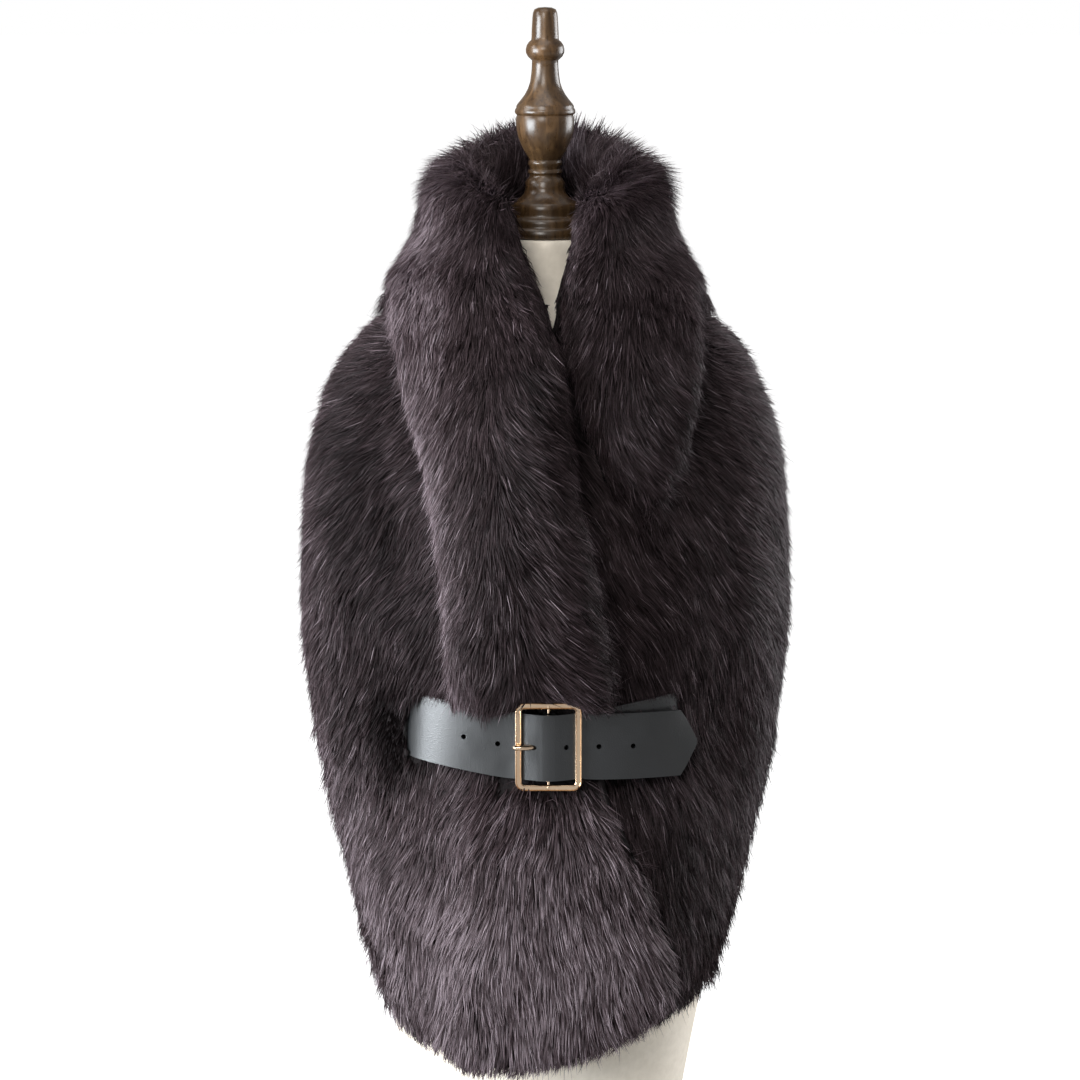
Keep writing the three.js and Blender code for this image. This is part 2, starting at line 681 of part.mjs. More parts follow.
// The place and direction of a hole punched square through the front end of the strap.
function holePlace(path, x) {
  const front = path.filter((step) => step.share > frontEndShare && step.point.y < 0);
  const off = (step) => Math.abs(step.point.x - x);
  const step = front.reduce((best, each) => (off(each) < off(best) ? each : best));
  const turn = new THREE.Quaternion().setFromUnitVectors(new THREE.Vector3(0, 1, 0), step.outward);
  const spot = new THREE.Vector3(x, step.point.y, step.point.z);
  return new THREE.Matrix4().compose(spot, turn, new THREE.Vector3(1, 1, 1));
}

function beltGeometry(path) {
  const rings = path.map((step) => {
    const half = mix(tipBlunt, beltWidth / 2, clamp(step.left / tipLength, 0, 1));
    return strapRing(step, 0, beltThickness, half);
  });
  let strap = toSolid(loftGeometry(rings));
  for (let hole = 0; hole < holeCount; hole += 1) {
    if (hole === prongHole.hole) continue;
    const place = holePlace(path, prongHole.x + (hole - prongHole.hole) * holeSpacing);
    strap = strap.subtract(cylinderSolid(holeRadius, 5 * beltThickness, place, 10));
  }
  return fromSolid(strap.subtract(prongRod(prongRadius + prongClearance)));
}

// The room that the belt needs: the groove that it presses into a front, and its way through the slit.
function beltRoom(path, fromShare, toShare) {
  const outer = beltThickness + beltClearance;
  const half = beltWidth / 2 + beltClearance;
  const stretch = path.filter(({ share }) => share >= fromShare && share <= toShare);
  const past = (end, next) => ({ ...end, point: end.point.clone().lerp(next.point, -0.3) });
  const steps = [past(stretch[0], stretch[1]), ...stretch, past(stretch.at(-1), stretch.at(-2))];
  return toSolid(loftGeometry(steps.map((step) => strapRing(step, -beltClearance, outer, half))));
}

// The room that the buckle's frame presses into the fur in front of a plane just behind it.
function frameRoom() {
  const depth = 40;
  const room = new THREE.BoxGeometry(frameWidth + 2, depth, frameHeight + 2);
  room.deleteAttribute("normal");
  room.deleteAttribute("uv");
  const back = frameCentre.y + frameDepth / 2 + restGap;
  return toSolid(room.translate(frameCentre.x, back - depth / 2, frameCentre.height));
}

// What is left of a solid when others are cut away, without loose crumbs.
function cutBack(solid, ...others) {
  const left = others.reduce((rest, other) => rest.subtract(other), solid);
  return left.decompose().reduce((best, each) => (each.volume() > best.volume() ? each : best));
}

function buckleFrameGeometry() {
  const bevel = 0.8;
  const rounded = (width, height, radius) => {
    const shape = new THREE.Shape();
    const x = width / 2;
    const y = height / 2;
    shape.moveTo(-x + radius, -y);
    shape.lineTo(x - radius, -y);
    shape.absarc(x - radius, -y + radius, radius, -Math.PI / 2, 0);
    shape.lineTo(x, y - radius);
    shape.absarc(x - radius, y - radius, radius, 0, Math.PI / 2);
    shape.lineTo(-x + radius, y);
    shape.absarc(-x + radius, y - radius, radius, Math.PI / 2, Math.PI);
    shape.lineTo(-x, -y + radius);
    shape.absarc(-x + radius, -y + radius, radius, Math.PI, Math.PI * 1.5);
    return shape;
  };
  const outline = rounded(frameWidth - 2 * bevel, frameHeight - 2 * bevel, frameCorner);
  const bars = 2 * (frameBar - bevel);
  outline.holes.push(rounded(frameWidth - bars, frameHeight - bars, frameInnerCorner));
  const ring = new THREE.ExtrudeGeometry(outline, {
    depth: frameDepth - 2 * bevel,
    bevelEnabled: true,
    bevelThickness: bevel,
    bevelSize: bevel,
    bevelSegments: 1,
    curveSegments: 4,
  });
  const place = new THREE.Matrix4().makeRotationX(Math.PI / 2);
  place.setPosition(frameCentre.x, frameCentre.y + frameDepth / 2 - bevel, frameCentre.height);
  const upright = new THREE.Matrix4().makeRotationX(Math.PI / 2);
  upright.setPosition(frameCentre.x, frameCentre.y, frameCentre.height);
  const bar = cylinderSolid(centreBarRadius, frameHeight - frameBar, upright, 12);
  const frame = toSolid(ring.applyMatrix4(place)).add(bar);
  return fromSolid(frame);
}

// The prong's rod, from the centre bar up through the strap and over the frame's side bar.
function prongRod(radius) {
  const rise = frameDepth / 2 + prongRadius + seamGap;
  const start = new THREE.Vector3(frameCentre.x - centreBarRadius - 1.2, frameCentre.y, frameCentre.height);
  const end = new THREE.Vector3(frameCentre.x - prongReach, frameCentre.y - rise, frameCentre.height);
  const bend = new THREE.Vector3(mix(start.x, end.x, 0.45), end.y - prongArch, start.z);
  const curve = new THREE.QuadraticBezierCurve3(start, bend, end);
  const steps = 6;
  const sides = 8;
  const rings = Array.from({ length: steps + 1 }, (_, i) => {
    const point = curve.getPoint(i / steps);
    const ahead = curve.getTangent(i / steps);
    const side = new THREE.Vector3(-ahead.y, ahead.x, 0).normalize();
    const size = radius * (i === steps ? 0.55 : 1);
    return Array.from({ length: sides }, (_, k) => {
      const angle = (k / sides) * 2 * Math.PI;
      const upward = new THREE.Vector3(0, 0, size * Math.sin(angle));
      return point.clone().addScaledVector(side, size * Math.cos(angle)).add(upward);
    });
  });
  return toSolid(loftGeometry(rings));
}

// The prong: its rod, and the ring that holds it loosely on the centre bar.
function prongGeometry() {
  const inside = centreBarRadius + seamGap + 0.05;
  const outline = new THREE.Shape().absarc(0, 0, inside + prongRingWall, 0, 2 * Math.PI);
  outline.holes.push(new THREE.Path().absarc(0, 0, inside, 0, 2 * Math.PI));
  const extrusion = { depth: prongRingHeight, bevelEnabled: false, curveSegments: 8 };
  const ring = new THREE.ExtrudeGeometry(outline, extrusion);
  ring.translate(frameCentre.x, frameCentre.y, frameCentre.height - prongRingHeight / 2);
  return fromSolid(toSolid(ring).add(prongRod(prongRadius)));
}

function formGeometry(grow = 0) {
  const sides = 28;
  const heights = [0, 6, 33, 70, 107, 145, 180, 215, 250, 285, 320, 352, 385, 418, 450, 500, 550, 600, 645,
    680, 700, 718, 733, 746, 757, 768, 790, neckTop - seamGap];
  const rings = heights.map((height) => {
    const power = mix(0.92, 1, clamp((height - 600) / 150, 0, 1));
    const shrink = height === 0 ? 0.97 : 1;
    return Array.from({ length: sides }, (_, j) => {
      const point = ringPoint(formSections, (j / sides) * 360, height, power);
      const size = shrink + grow / Math.hypot(point.x, point.y);
      return point.set(point.x * size, point.y * size, height + (height > 0 ? grow : 0));
    });
  });
  return loftGeometry(rings);
}

function finialGeometry() {
  const points = finialProfile.map(({ radius, rise }) => new THREE.Vector2(radius, rise));
  points.unshift(new THREE.Vector2(0, 0));
  points.push(new THREE.Vector2(5, 207), new THREE.Vector2(0, 207.5));
  const lathe = new THREE.LatheGeometry(points, finialSides);
  lathe.deleteAttribute("normal");
  lathe.deleteAttribute("uv");
  lathe.rotateX(Math.PI / 2);
  lathe.translate(0, 0, neckTop);
  return closedGeometry(Array.from(lathe.attributes.position.array), Array.from(lathe.index.array));
}

const finishes = {
  fur: { color: 0x34282c, roughness: 0.85, metalness: 0 },
  leather: { color: 0x1b1c1e, roughness: 0.45, metalness: 0 },
  brass: { color: 0xd1bf9f, roughness: 0.22, metalness: 1 },
  wood: { color: 0x4a3424, roughness: 0.35, metalness: 0 },
  cover: { color: 0xe0d5c9, roughness: 0.9, metalness: 0 },
};

const group = new THREE.Group();
function addPiece(name, geometry, finish) {
  const mesh = new THREE.Mesh(geometry, new THREE.MeshStandardMaterial(finishes[finish]));
  mesh.name = name;
  group.add(mesh);
}

const belt = beltPath();
const strap = toSolid(beltGeometry(belt));
const layGap = 0.6;
const formRoom = toSolid(formGeometry(layGap));
const leftRoom = toSolid(frontGeometry(1, underEdge, false, layGap));
const rightRoom = toSolid(frontGeometry(-1, overEdge, true, layGap));
const backRoom = toSolid(backGeometry(layGap));
const beltInLeft = beltRoom(belt, wearerLeftStretch.from, wearerLeftStretch.to);
const beltInRight = beltRoom(belt, wearerRightStretch.from, wearerRightStretch.to);
const back = cutBack(toSolid(backGeometry()), formRoom);
const leftFront = cutBack(toSolid(frontGeometry(1, underEdge, false)), formRoom, beltInLeft, beltInRight);
const wholeRight = toSolid(frontGeometry(-1, overEdge, true));
const rightFront = cutBack(wholeRight, formRoom, leftRoom, beltInLeft, beltInRight, frameRoom());
const wholeLeftCollar = toSolid(collarGeometry(1, leftCollarRows, false));
const leftCollar = cutBack(wholeLeftCollar, leftRoom, backRoom, rightRoom);
const wholeRightCollar = toSolid(collarGeometry(-1, rightCollarRows, true));
const rightCollar = cutBack(wholeRightCollar, rightRoom, backRoom, leftRoom, frameRoom());

addPiece("form_torso", formGeometry(), "cover");
addPiece("form_finial", finialGeometry(), "wood");
addPiece("wrap_back", fromSolid(back), "fur");
addPiece("wrap_front_right", fromSolid(rightFront), "fur");
addPiece("wrap_front_left", fromSolid(leftFront), "fur");
addPiece("collar_right", fromSolid(rightCollar), "fur");
addPiece("collar_left", fromSolid(leftCollar), "fur");
addPiece("belt_strap", fromSolid(strap), "leather");
addPiece("buckle_frame", buckleFrameGeometry(), "brass");
addPiece("buckle_prong", prongGeometry(), "brass");

export default group;
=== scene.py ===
from math import cos, pi, radians, sin

import bpy
import numpy as np
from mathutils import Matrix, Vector
from mathutils.bvhtree import BVHTree
from mathutils.kdtree import KDTree


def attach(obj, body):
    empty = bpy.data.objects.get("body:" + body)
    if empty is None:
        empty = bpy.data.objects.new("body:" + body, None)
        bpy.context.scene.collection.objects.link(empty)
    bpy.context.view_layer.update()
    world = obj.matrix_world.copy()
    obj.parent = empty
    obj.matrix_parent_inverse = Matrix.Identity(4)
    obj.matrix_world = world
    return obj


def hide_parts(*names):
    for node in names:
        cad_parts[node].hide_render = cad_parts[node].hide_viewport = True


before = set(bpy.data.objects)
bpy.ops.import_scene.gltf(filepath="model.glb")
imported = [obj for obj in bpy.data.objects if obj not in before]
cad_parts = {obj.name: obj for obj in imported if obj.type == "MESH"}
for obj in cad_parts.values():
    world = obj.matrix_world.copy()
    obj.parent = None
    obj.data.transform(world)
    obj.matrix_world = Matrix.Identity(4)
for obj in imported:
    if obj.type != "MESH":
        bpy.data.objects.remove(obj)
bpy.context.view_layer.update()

bakeMap = "OFBake"
down = np.array([0.0, 0.0, -1.0])
forward = np.array([0.0, -1.0, 0.0])
print("frame loaded:", len(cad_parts), "nodes")


# What is awake is what the next operator acts on
def wake(*objects):
    if bpy.context.object and bpy.context.object.mode != "OBJECT":
        bpy.ops.object.mode_set(mode="OBJECT")
    bpy.ops.object.select_all(action="DESELECT")
    for item in objects:
        item.select_set(True)
    if objects:
        bpy.context.view_layer.objects.active = objects[0]


def edit(item, everything=True):
    wake(item)
    bpy.ops.object.mode_set(mode="EDIT")
    bpy.ops.mesh.select_mode(type="FACE")
    bpy.ops.mesh.select_all(action="SELECT" if everything else "DESELECT")


def leaveEdit():
    bpy.ops.object.mode_set(mode="OBJECT")


def pickFaces(item, test):
    bpy.ops.mesh.select_mode(type="FACE")
    bpy.ops.mesh.select_all(action="DESELECT")
    leaveEdit()
    for face in item.data.polygons:
        face.select = bool(test(face))
    bpy.ops.object.mode_set(mode="EDIT")


def pickEdges(item, test):
    bpy.ops.mesh.select_mode(type="EDGE")
    bpy.ops.mesh.select_all(action="DESELECT")
    leaveEdit()
    points = item.data.vertices
    for line in item.data.edges:
        line.select = bool(test(*(points[i].co for i in line.vertices)))
    bpy.ops.object.mode_set(mode="EDIT")


def addModifier(item, kind, **values):
    wake(item)
    modifier = item.modifiers.new(kind.title(), kind)
    for key, value in values.items():
        setattr(modifier, key, value)
    bpy.ops.object.modifier_apply(modifier=modifier.name)


def roundEdges(item, width, segments):
    addModifier(item, "BEVEL", width=width, segments=segments, limit_method="ANGLE",
                angle_limit=radians(50))


def finishPiece(item, slot, material, *nodes):
    wake(item)
    bpy.ops.object.transform_apply(location=True, rotation=True, scale=True)
    item.data.materials.clear()
    item.data.materials.append(material)
    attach(item, "root")
    if nodes:
        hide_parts(*nodes)


# A merged copy of a CAD node's mesh, to be worked on
def copyOfNode(node, name):
    item = bpy.data.objects.new(name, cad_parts[node].data.copy())
    bpy.context.scene.collection.objects.link(item)
    edit(item)
    bpy.ops.mesh.remove_doubles(threshold=0.0002)
    leaveEdit()
    return item


def numbers(items, key, width):
    found = np.empty(len(items) * width, np.float32)
    items.foreach_get(key, found)
    return found.reshape(-1, width).astype(float) if width > 1 else found.astype(float)


def unit(vectors):
    return vectors / np.maximum(np.linalg.norm(vectors, axis=-1, keepdims=True), 1e-9)


# Goes from 0 to 1 as the value goes from start to end
def fade(value, start, end):
    return np.clip((value - start) / (end - start), 0, 1)


def pieceName(node, ending):
    return node.replace("_", " ").title().replace(" ", "") + ending


# Materials
def newMaterial(name, roughness, specular=0.5, **sockets):
    made = bpy.data.materials.new(name)
    made.use_nodes = True
    shader = made.node_tree.nodes["Principled BSDF"]
    shader.inputs["Roughness"].default_value = roughness
    shader.inputs["Specular IOR Level"].default_value = specular
    for socket, value in sockets.items():
        shader.inputs[socket.replace("_", " ")].default_value = value
    return made


def addNode(tree, kind, feeds=None, **values):
    node = tree.nodes.new(kind)
    for key, value in values.items():
        setattr(node, key, value)
    for socket, source in (feeds or {}).items():
        if hasattr(source, "is_output"):
            tree.links.new(source, node.inputs[socket])
        else:
            node.inputs[socket].default_value = source
    return node


def ramp(tree, source, *stops):
    node = addNode(tree, "ShaderNodeValToRGB", {"Fac": source})
    while len(node.color_ramp.elements) < len(stops):
        node.color_ramp.elements.new(0.5)
    for element, (place, colour) in zip(node.color_ramp.elements, stops):
        element.position = place
        element.color = (*colour, 1)
    return node.outputs["Color"]


def greyRamp(tree, source, *stops):
    return ramp(tree, source, *((place, (value,) * 3) for place, value in stops))


def objectCoords(tree, scale=(1, 1, 1)):
    place = addNode(tree, "ShaderNodeTexCoord").outputs["Object"]
    feeds = {"Vector": place, "Scale": scale}
    return addNode(tree, "ShaderNodeMapping", feeds).outputs["Vector"]


# Slow, soft changes from place to place, at two sizes
def makeUnevenGroup():
    group = bpy.data.node_groups.new("unevenTone", "ShaderNodeTree")
    sockets = {"Large Scale": "INPUT", "Small Scale": "INPUT", "Large": "OUTPUT", "Small": "OUTPUT"}
    for label, way in sockets.items():
        group.interface.new_socket(label, in_out=way, socket_type="NodeSocketFloat")
    given = addNode(group, "NodeGroupInput").outputs
    place = addNode(group, "ShaderNodeTexCoord").outputs["Object"]
    sizes = []
    for label in ("Large Scale", "Small Scale"):
        feeds = {"Vector": place, "Scale": given[label], "Detail": 3.0}
        sizes.append(addNode(group, "ShaderNodeTexNoise", feeds).outputs["Fac"])
    addNode(group, "NodeGroupOutput", {"Large": sizes[0], "Small": sizes[1]})
    return group


unevenGroup = makeUnevenGroup()


def uneven(tree, large, small):
    node = addNode(tree, "ShaderNodeGroup", node_tree=unevenGroup)
    node.inputs["Large Scale"].default_value = large
    node.inputs["Small Scale"].default_value = small
    return node.outputs["Large"], node.outputs["Small"]


def multiplied(tree, first, second):
    node = addNode(tree, "ShaderNodeMix", data_type="RGBA", blend_type="MULTIPLY")
    node.inputs[0].default_value = 1.0
    tree.links.new(first, node.inputs[6])
    tree.links.new(second, node.inputs[7])
    return node.outputs[2]


def calculate(tree, operation, *values):
    feeds = dict(enumerate(values))
    return addNode(tree, "ShaderNodeMath", feeds, operation=operation).outputs[0]


def addBump(tree, height, strength, distance):
    feeds = {"Height": height, "Strength": strength, "Distance": distance}
    return addNode(tree, "ShaderNodeBump", feeds).outputs["Normal"]


def feed(tree, **sockets):
    shader = tree.nodes["Principled BSDF"]
    for socket, source in sockets.items():
        tree.links.new(source, shader.inputs[socket.replace("_", " ")])


# The pile: one strand's shade runs along U and its length along V
def makePileMaterial():
    made = newMaterial("furPile", 0.5, Sheen_Roughness=0.35, Sheen_Tint=(1.0, 0.72, 0.8, 1))
    tree = made.node_tree
    place = addNode(tree, "ShaderNodeUVMap", uv_map=bakeMap).outputs["UV"]
    split = addNode(tree, "ShaderNodeSeparateXYZ", {"Vector": place}).outputs
    shade = ramp(tree, split["X"], (0.0, (0.005, 0.0031, 0.0033)), (0.35, (0.0185, 0.0116, 0.0126)),
                 (0.65, (0.046, 0.0305, 0.034)), (0.88, (0.118, 0.087, 0.097)),
                 (1.0, (0.26, 0.21, 0.23)))
    # Colour, gloss and sheen all fall off towards the root, so a strand whose V is squeezed down
    # takes on painted shade
    along = ramp(tree, split["Y"], (0.0, (0.18, 0.17, 0.17)), (0.45, (0.6,) * 3), (0.9, (1,) * 3))
    light = greyRamp(tree, split["X"], (0.05, 0.3), (0.5, 1))
    gloss = greyRamp(tree, split["Y"], (0.02, 0.01), (0.35, 0.13))
    haze = greyRamp(tree, split["Y"], (0.02, 0.0), (0.35, 0.2))
    feed(tree, Base_Color=multiplied(tree, shade, along),
         Specular_IOR_Level=multiplied(tree, gloss, light),
         Sheen_Weight=multiplied(tree, haze, light))
    return made


# The knitted ground that the pile stands in, coloured darker than the pile as painted shade between
# the hairs
def makeGroundMaterial():
    made = newMaterial("furGround", 0.9, 0.2)
    tree = made.node_tree
    large, small = uneven(tree, 14, 420)
    tone = ramp(tree, large, (0.3, (0.007, 0.005, 0.0053)), (0.7, (0.014, 0.0098, 0.0104)))
    fine = greyRamp(tree, small, (0.3, 0.5), (0.7, 1))
    feed(tree, Base_Color=multiplied(tree, tone, fine), Normal=addBump(tree, small, 0.6, 0.0015))
    return made


def makeLeatherMaterial():
    made = newMaterial("beltLeather", 0.33, 0.88)
    tree = made.node_tree
    large, small = uneven(tree, 12, 90)
    pores = addNode(tree, "ShaderNodeTexVoronoi", {"Vector": objectCoords(tree), "Scale": 900.0})
    tone = ramp(tree, large, (0.3, (0.0055, 0.006, 0.0066)), (0.7, (0.009, 0.0096, 0.0106)))
    gloss = greyRamp(tree, small, (0.3, 0.29), (0.7, 0.37))
    feed(tree, Base_Color=tone, Roughness=gloss,
         Normal=addBump(tree, pores.outputs["Distance"], 0.3, 0.0003))
    return made


def makeGoldMaterial():
    made = newMaterial("paleGold", 0.16, 0.5, Metallic=1.0)
    tree = made.node_tree
    large, small = uneven(tree, 30, 260)
    tone = ramp(tree, large, (0.3, (0.77, 0.55, 0.37)), (0.7, (0.88, 0.67, 0.47)))
    gloss = greyRamp(tree, small, (0.3, 0.1), (0.7, 0.17))
    feed(tree, Base_Color=tone, Roughness=gloss, Normal=addBump(tree, small, 0.05, 0.0002))
    return made


def makeWoodMaterial():
    made = newMaterial("turnedWood", 0.3, 0.4, Coat_Weight=0.16, Coat_Roughness=0.2)
    tree = made.node_tree
    large, small = uneven(tree, 16, 130)
    long = objectCoords(tree, (1, 1, 0.12))
    feeds = {"Vector": long, "Scale": 150.0, "Detail": 5.0, "Distortion": 0.8}
    grain = addNode(tree, "ShaderNodeTexNoise", feeds).outputs["Fac"]
    feeds = {"Vector": long, "Scale": 620.0, "Detail": 2.0}
    pores = addNode(tree, "ShaderNodeTexNoise", feeds).outputs["Fac"]
    tone = ramp(tree, grain, (0.28, (0.032, 0.017, 0.0075)), (0.5, (0.062, 0.035, 0.0155)),
                (0.72, (0.108, 0.061, 0.027)))
    patch = ramp(tree, large, (0.3, (0.72, 0.74, 0.76)), (0.7, (1.12, 1.05, 1.0)))
    flecks = ramp(tree, pores, (0.3, (0.55, 0.5, 0.48)), (0.42, (1, 1, 1)))
    gloss = greyRamp(tree, small, (0.3, 0.24), (0.7, 0.36))
    feed(tree, Base_Color=multiplied(tree, multiplied(tree, tone, patch), flecks), Roughness=gloss,
         Normal=addBump(tree, grain, 0.12, 0.0004))
    return made


# Plain weave of the form's cover, its threads drawn round the form and up it
threadStep = 0.0009


def makeCoverMaterial():
    made = newMaterial("linenCover", 0.85, 0.25, Sheen_Weight=0.15)
    tree = made.node_tree
    large, small = uneven(tree, 7, 150)
    place = addNode(tree, "ShaderNodeUVMap", uv_map="thread").outputs["UV"]
    split = addNode(tree, "ShaderNodeSeparateXYZ", {"Vector": place}).outputs
    threads = []
    for axis in ("X", "Y"):
        turned = calculate(tree, "MULTIPLY", split[axis], 2 * pi / threadStep)
        threads.append(calculate(tree, "SINE", turned))
    feeds = {"Value": calculate(tree, "MULTIPLY", *threads), "From Min": -1.0, "From Max": 1.0}
    weave = addNode(tree, "ShaderNodeMapRange", feeds).outputs[0]
    tone = ramp(tree, large, (0.3, (0.89, 0.805, 0.675)), (0.7, (0.95, 0.875, 0.76)))
    slubs = ramp(tree, small, (0.35, (0.93, 0.925, 0.915)), (0.65, (1, 1, 1)))
    shade = ramp(tree, weave, (0.0, (0.92, 0.915, 0.905)), (1.0, (1, 1, 1)))
    feed(tree, Base_Color=multiplied(tree, multiplied(tree, tone, slubs), shade),
         Normal=addBump(tree, weave, 0.35, 0.0004))
    return made


pileMaterial = makePileMaterial()
groundMaterial = makeGroundMaterial()
leatherMaterial = makeLeatherMaterial()
goldMaterial = makeGoldMaterial()
woodMaterial = makeWoodMaterial()
coverMaterial = makeCoverMaterial()
print("materials made")


# Camera, light and floor
cameraPlan = {"aim": (-0.0046, 0.0, 0.5413), "distance": 3.5, "elevation": 9, "lens": 126.8,
              "sensor": 36, "reach": 100}
lampPlans = {
    "keyLamp": {"place": (-2.5, -1.45, 0.78), "size": 1.6, "power": 214, "tint": (0.89, 0.95, 1.0)},
    "rimLamp": {"place": (-2.6, -0.5, 2.1), "size": 1.0, "power": 26, "tint": (1.0, 0.97, 0.96)},
    "frontLamp": {"place": (-0.9, -3.3, 2.3), "size": 1.3, "power": 60, "tint": (1.0, 0.98, 0.95)},
    "topLamp": {"place": (-0.3, -0.8, 3.0), "size": 2.0, "power": 22, "tint": (1, 1, 1)},
    "fillLamp": {"place": (2.6, 1.1, 0.9), "size": 1.8, "power": 85, "tint": (0.97, 0.98, 1.0)},
}
lampAim = (0, 0, 0.55)
worldLight = 0.31
floorPlan = {"radius": 40, "glow": 0.03}


def setCamera(plan):
    lean = radians(plan["elevation"])
    x, y, z = plan["aim"]
    place = (x, y - plan["distance"] * cos(lean), z + plan["distance"] * sin(lean))
    bpy.ops.object.camera_add(location=place, rotation=(pi / 2 - lean, 0, 0))
    camera = bpy.context.object
    camera.data.lens = plan["lens"]
    camera.data.sensor_width = plan["sensor"]
    camera.data.clip_end = plan["reach"]
    bpy.context.scene.camera = camera


def setLamps(plans):
    for name, plan in plans.items():
        bpy.ops.object.light_add(type="AREA", location=plan["place"])
        lamp = bpy.context.object
        lamp.name = name
        lamp.data.size = plan["size"]
        lamp.data.energy = plan["power"]
        lamp.data.color = plan["tint"]
        toward = Vector(lampAim) - Vector(plan["place"])
        lamp.rotation_euler = toward.to_track_quat("-Z", "Y").to_euler()


# Full white where the camera looks, and another strength for what lights the object
def whiteToCamera(tree, strength):
    seen = addNode(tree, "ShaderNodeLightPath").outputs["Is Camera Ray"]
    feeds = {"Value": seen, "To Min": strength, "To Max": 1.0}
    return addNode(tree, "ShaderNodeMapRange", feeds).outputs[0]


def setWorld(strength):
    world = bpy.data.worlds.new("softWhite")
    bpy.context.scene.world = world
    world.use_nodes = True
    tree = world.node_tree
    sky = tree.nodes["Background"]
    sky.inputs["Color"].default_value = (1, 1, 1, 1)
    tree.links.new(whiteToCamera(tree, strength), sky.inputs["Strength"])


def makeFloor(plan):
    bpy.ops.mesh.primitive_circle_add(vertices=64, radius=plan["radius"], fill_type="NGON",
                                      location=(0, 0, 0))
    floor = bpy.context.object
    floor.name = "paleFloor"
    paint = newMaterial("paleFloor", 0.9, 0.1, Emission_Color=(1, 1, 1, 1))
    tree = paint.node_tree
    feed(tree, Base_Color=greyRamp(tree, uneven(tree, 0.6, 8)[0], (0.3, 0.29), (0.7, 0.31)),
         Emission_Strength=whiteToCamera(tree, plan["glow"]))
    floor.data.materials.append(paint)


setCamera(cameraPlan)
setLamps(lampPlans)
setWorld(worldLight)
makeFloor(floorPlan)
bpy.context.scene.view_settings.view_transform = "Standard"
print("camera, light and floor set")


# Fur: a thin cloth wall in the middle of each solid, and its pile out to the solid's surface
furNodes = ("wrap_front_right", "wrap_front_left", "wrap_back", "collar_right", "collar_left")
furPlan = {
    "pile": 0.011, "leastWall": 0.16,  # a wall's depth below the surface, and its least share
    "crestPile": 0.006, "crest": (0.82, 0.86),  # the depth that is lost round the top of the neck
    "loneDepth": 0.001, "thickest": 0.06,  # depth where nothing lies behind, and how far to look
    "openReach": 0.11, "openRays": 14, "lift": 0.0015,  # how a point of the wall looks for sky
    "openGain": 2.2, "openLoss": 0.12, "crestGain": 0.3,  # how that sky thins out the pile
    "wallStep": 1, "clump": 7,  # a wall's subdivisions, and strands to a tuft
    "edgeReach": 0.009, "bodyReach": 0.003,  # how far tips stand past edges, and off faces
}
# One strand. The guard hairs are the few that are longer, thinner and lighter
strandPlan = {
    "length": (0.022, 0.036), "lengthDrift": 0.12, "width": (0.0007, 0.0013),
    "guards": 0.07, "guardLength": 1.15, "guardWidth": 0.75,
    "tipAlong": 0.92, "bendAlong": 0.36, "bendOut": 0.82,  # shares of its length and of its depth
    "swirls": ((0.17, 0.1), (0.12, 0.028)), "stray": 0.1,  # turns off the comb: how much, how wide
    "tipUneven": 0.0022, "tipDrift": 0.0012, "crestLoft": 0.011,
    "twist": 0.7, "roundness": 0.7,
}
# A strand's shade: its middle, spread by tuft and by strand, and slow drift; the edges and crest
# values are painted light, on faces turned to the sides and on the crest at the back; guard hairs
# are lighter
shadePlan = {"middle": 0.45, "tufts": 0.09, "strands": 0.17, "drift": 0.05, "edges": 0.12,
             "crest": 0.17, "guards": 0.25}
collarSpines = {
    "collar_right": [
        (0, 109, 914), (-58, 89, 908), (-95, 41, 898), (-104, -10, 890), (-92, -56, 882),
        (-75, -86, 859), (-59, -109, 830), (-65, -135, 781), (-62, -158, 730), (-54, -184, 683),
        (-46, -203, 620), (-35, -205, 555), (-26, -197, 490), (-17, -178, 430), (-15, -150, 385)],
    "collar_left": [
        (0, 109, 914), (58, 89, 908), (95, 41, 898), (104, -10, 890), (92, -56, 882),
        (73, -88, 859), (58, -109, 831), (68, -129, 787), (78, -151, 736), (78, -160, 688),
        (77, -161, 641), (73, -155, 570)],
}
# How far the pile is combed outwards from straight down: height, degrees
combRows = [(0.05, 2), (0.25, 4), (0.33, 8), (0.42, 20), (0.52, 31), (0.62, 40), (0.72, 49),
            (0.95, 54)]
# Per piece: below the belt the upper front's pile gets painted light and the under front's painted
# shade, and the collars' side values are painted light
pilePlans = {
    "wrap_front_right": {"strands": 65000, "seed": 11, "sideways": 1.0, "tone": -0.04, "low": 0.29,
                         "fan": True, "pull": (0.15, 0.45)},
    "wrap_front_left": {"strands": 60000, "seed": 12, "sideways": 1.0, "tone": -0.03, "low": -0.12,
                        "pull": (0.15, 0.45)},
    "wrap_back": {"strands": 60000, "seed": 13, "sideways": 0.35, "tone": 0.0,
                  "pull": (0.15, 0.45)},
    "collar_right": {"strands": 65000, "seed": 14, "sideways": 0.6, "tone": -0.16, "paintedLeftLight": 0.45,
                     "merge": 0.30, "part": (0.26, 0.78), "pull": (0.2, 0.55)},
    "collar_left": {"strands": 50000, "seed": 15, "sideways": 1.0, "tone": -0.1, "paintedSideLight": 0.2,
                    "merge": 0.62, "part": (0.6, 0.5), "pull": (0.2, 0.55)},
}
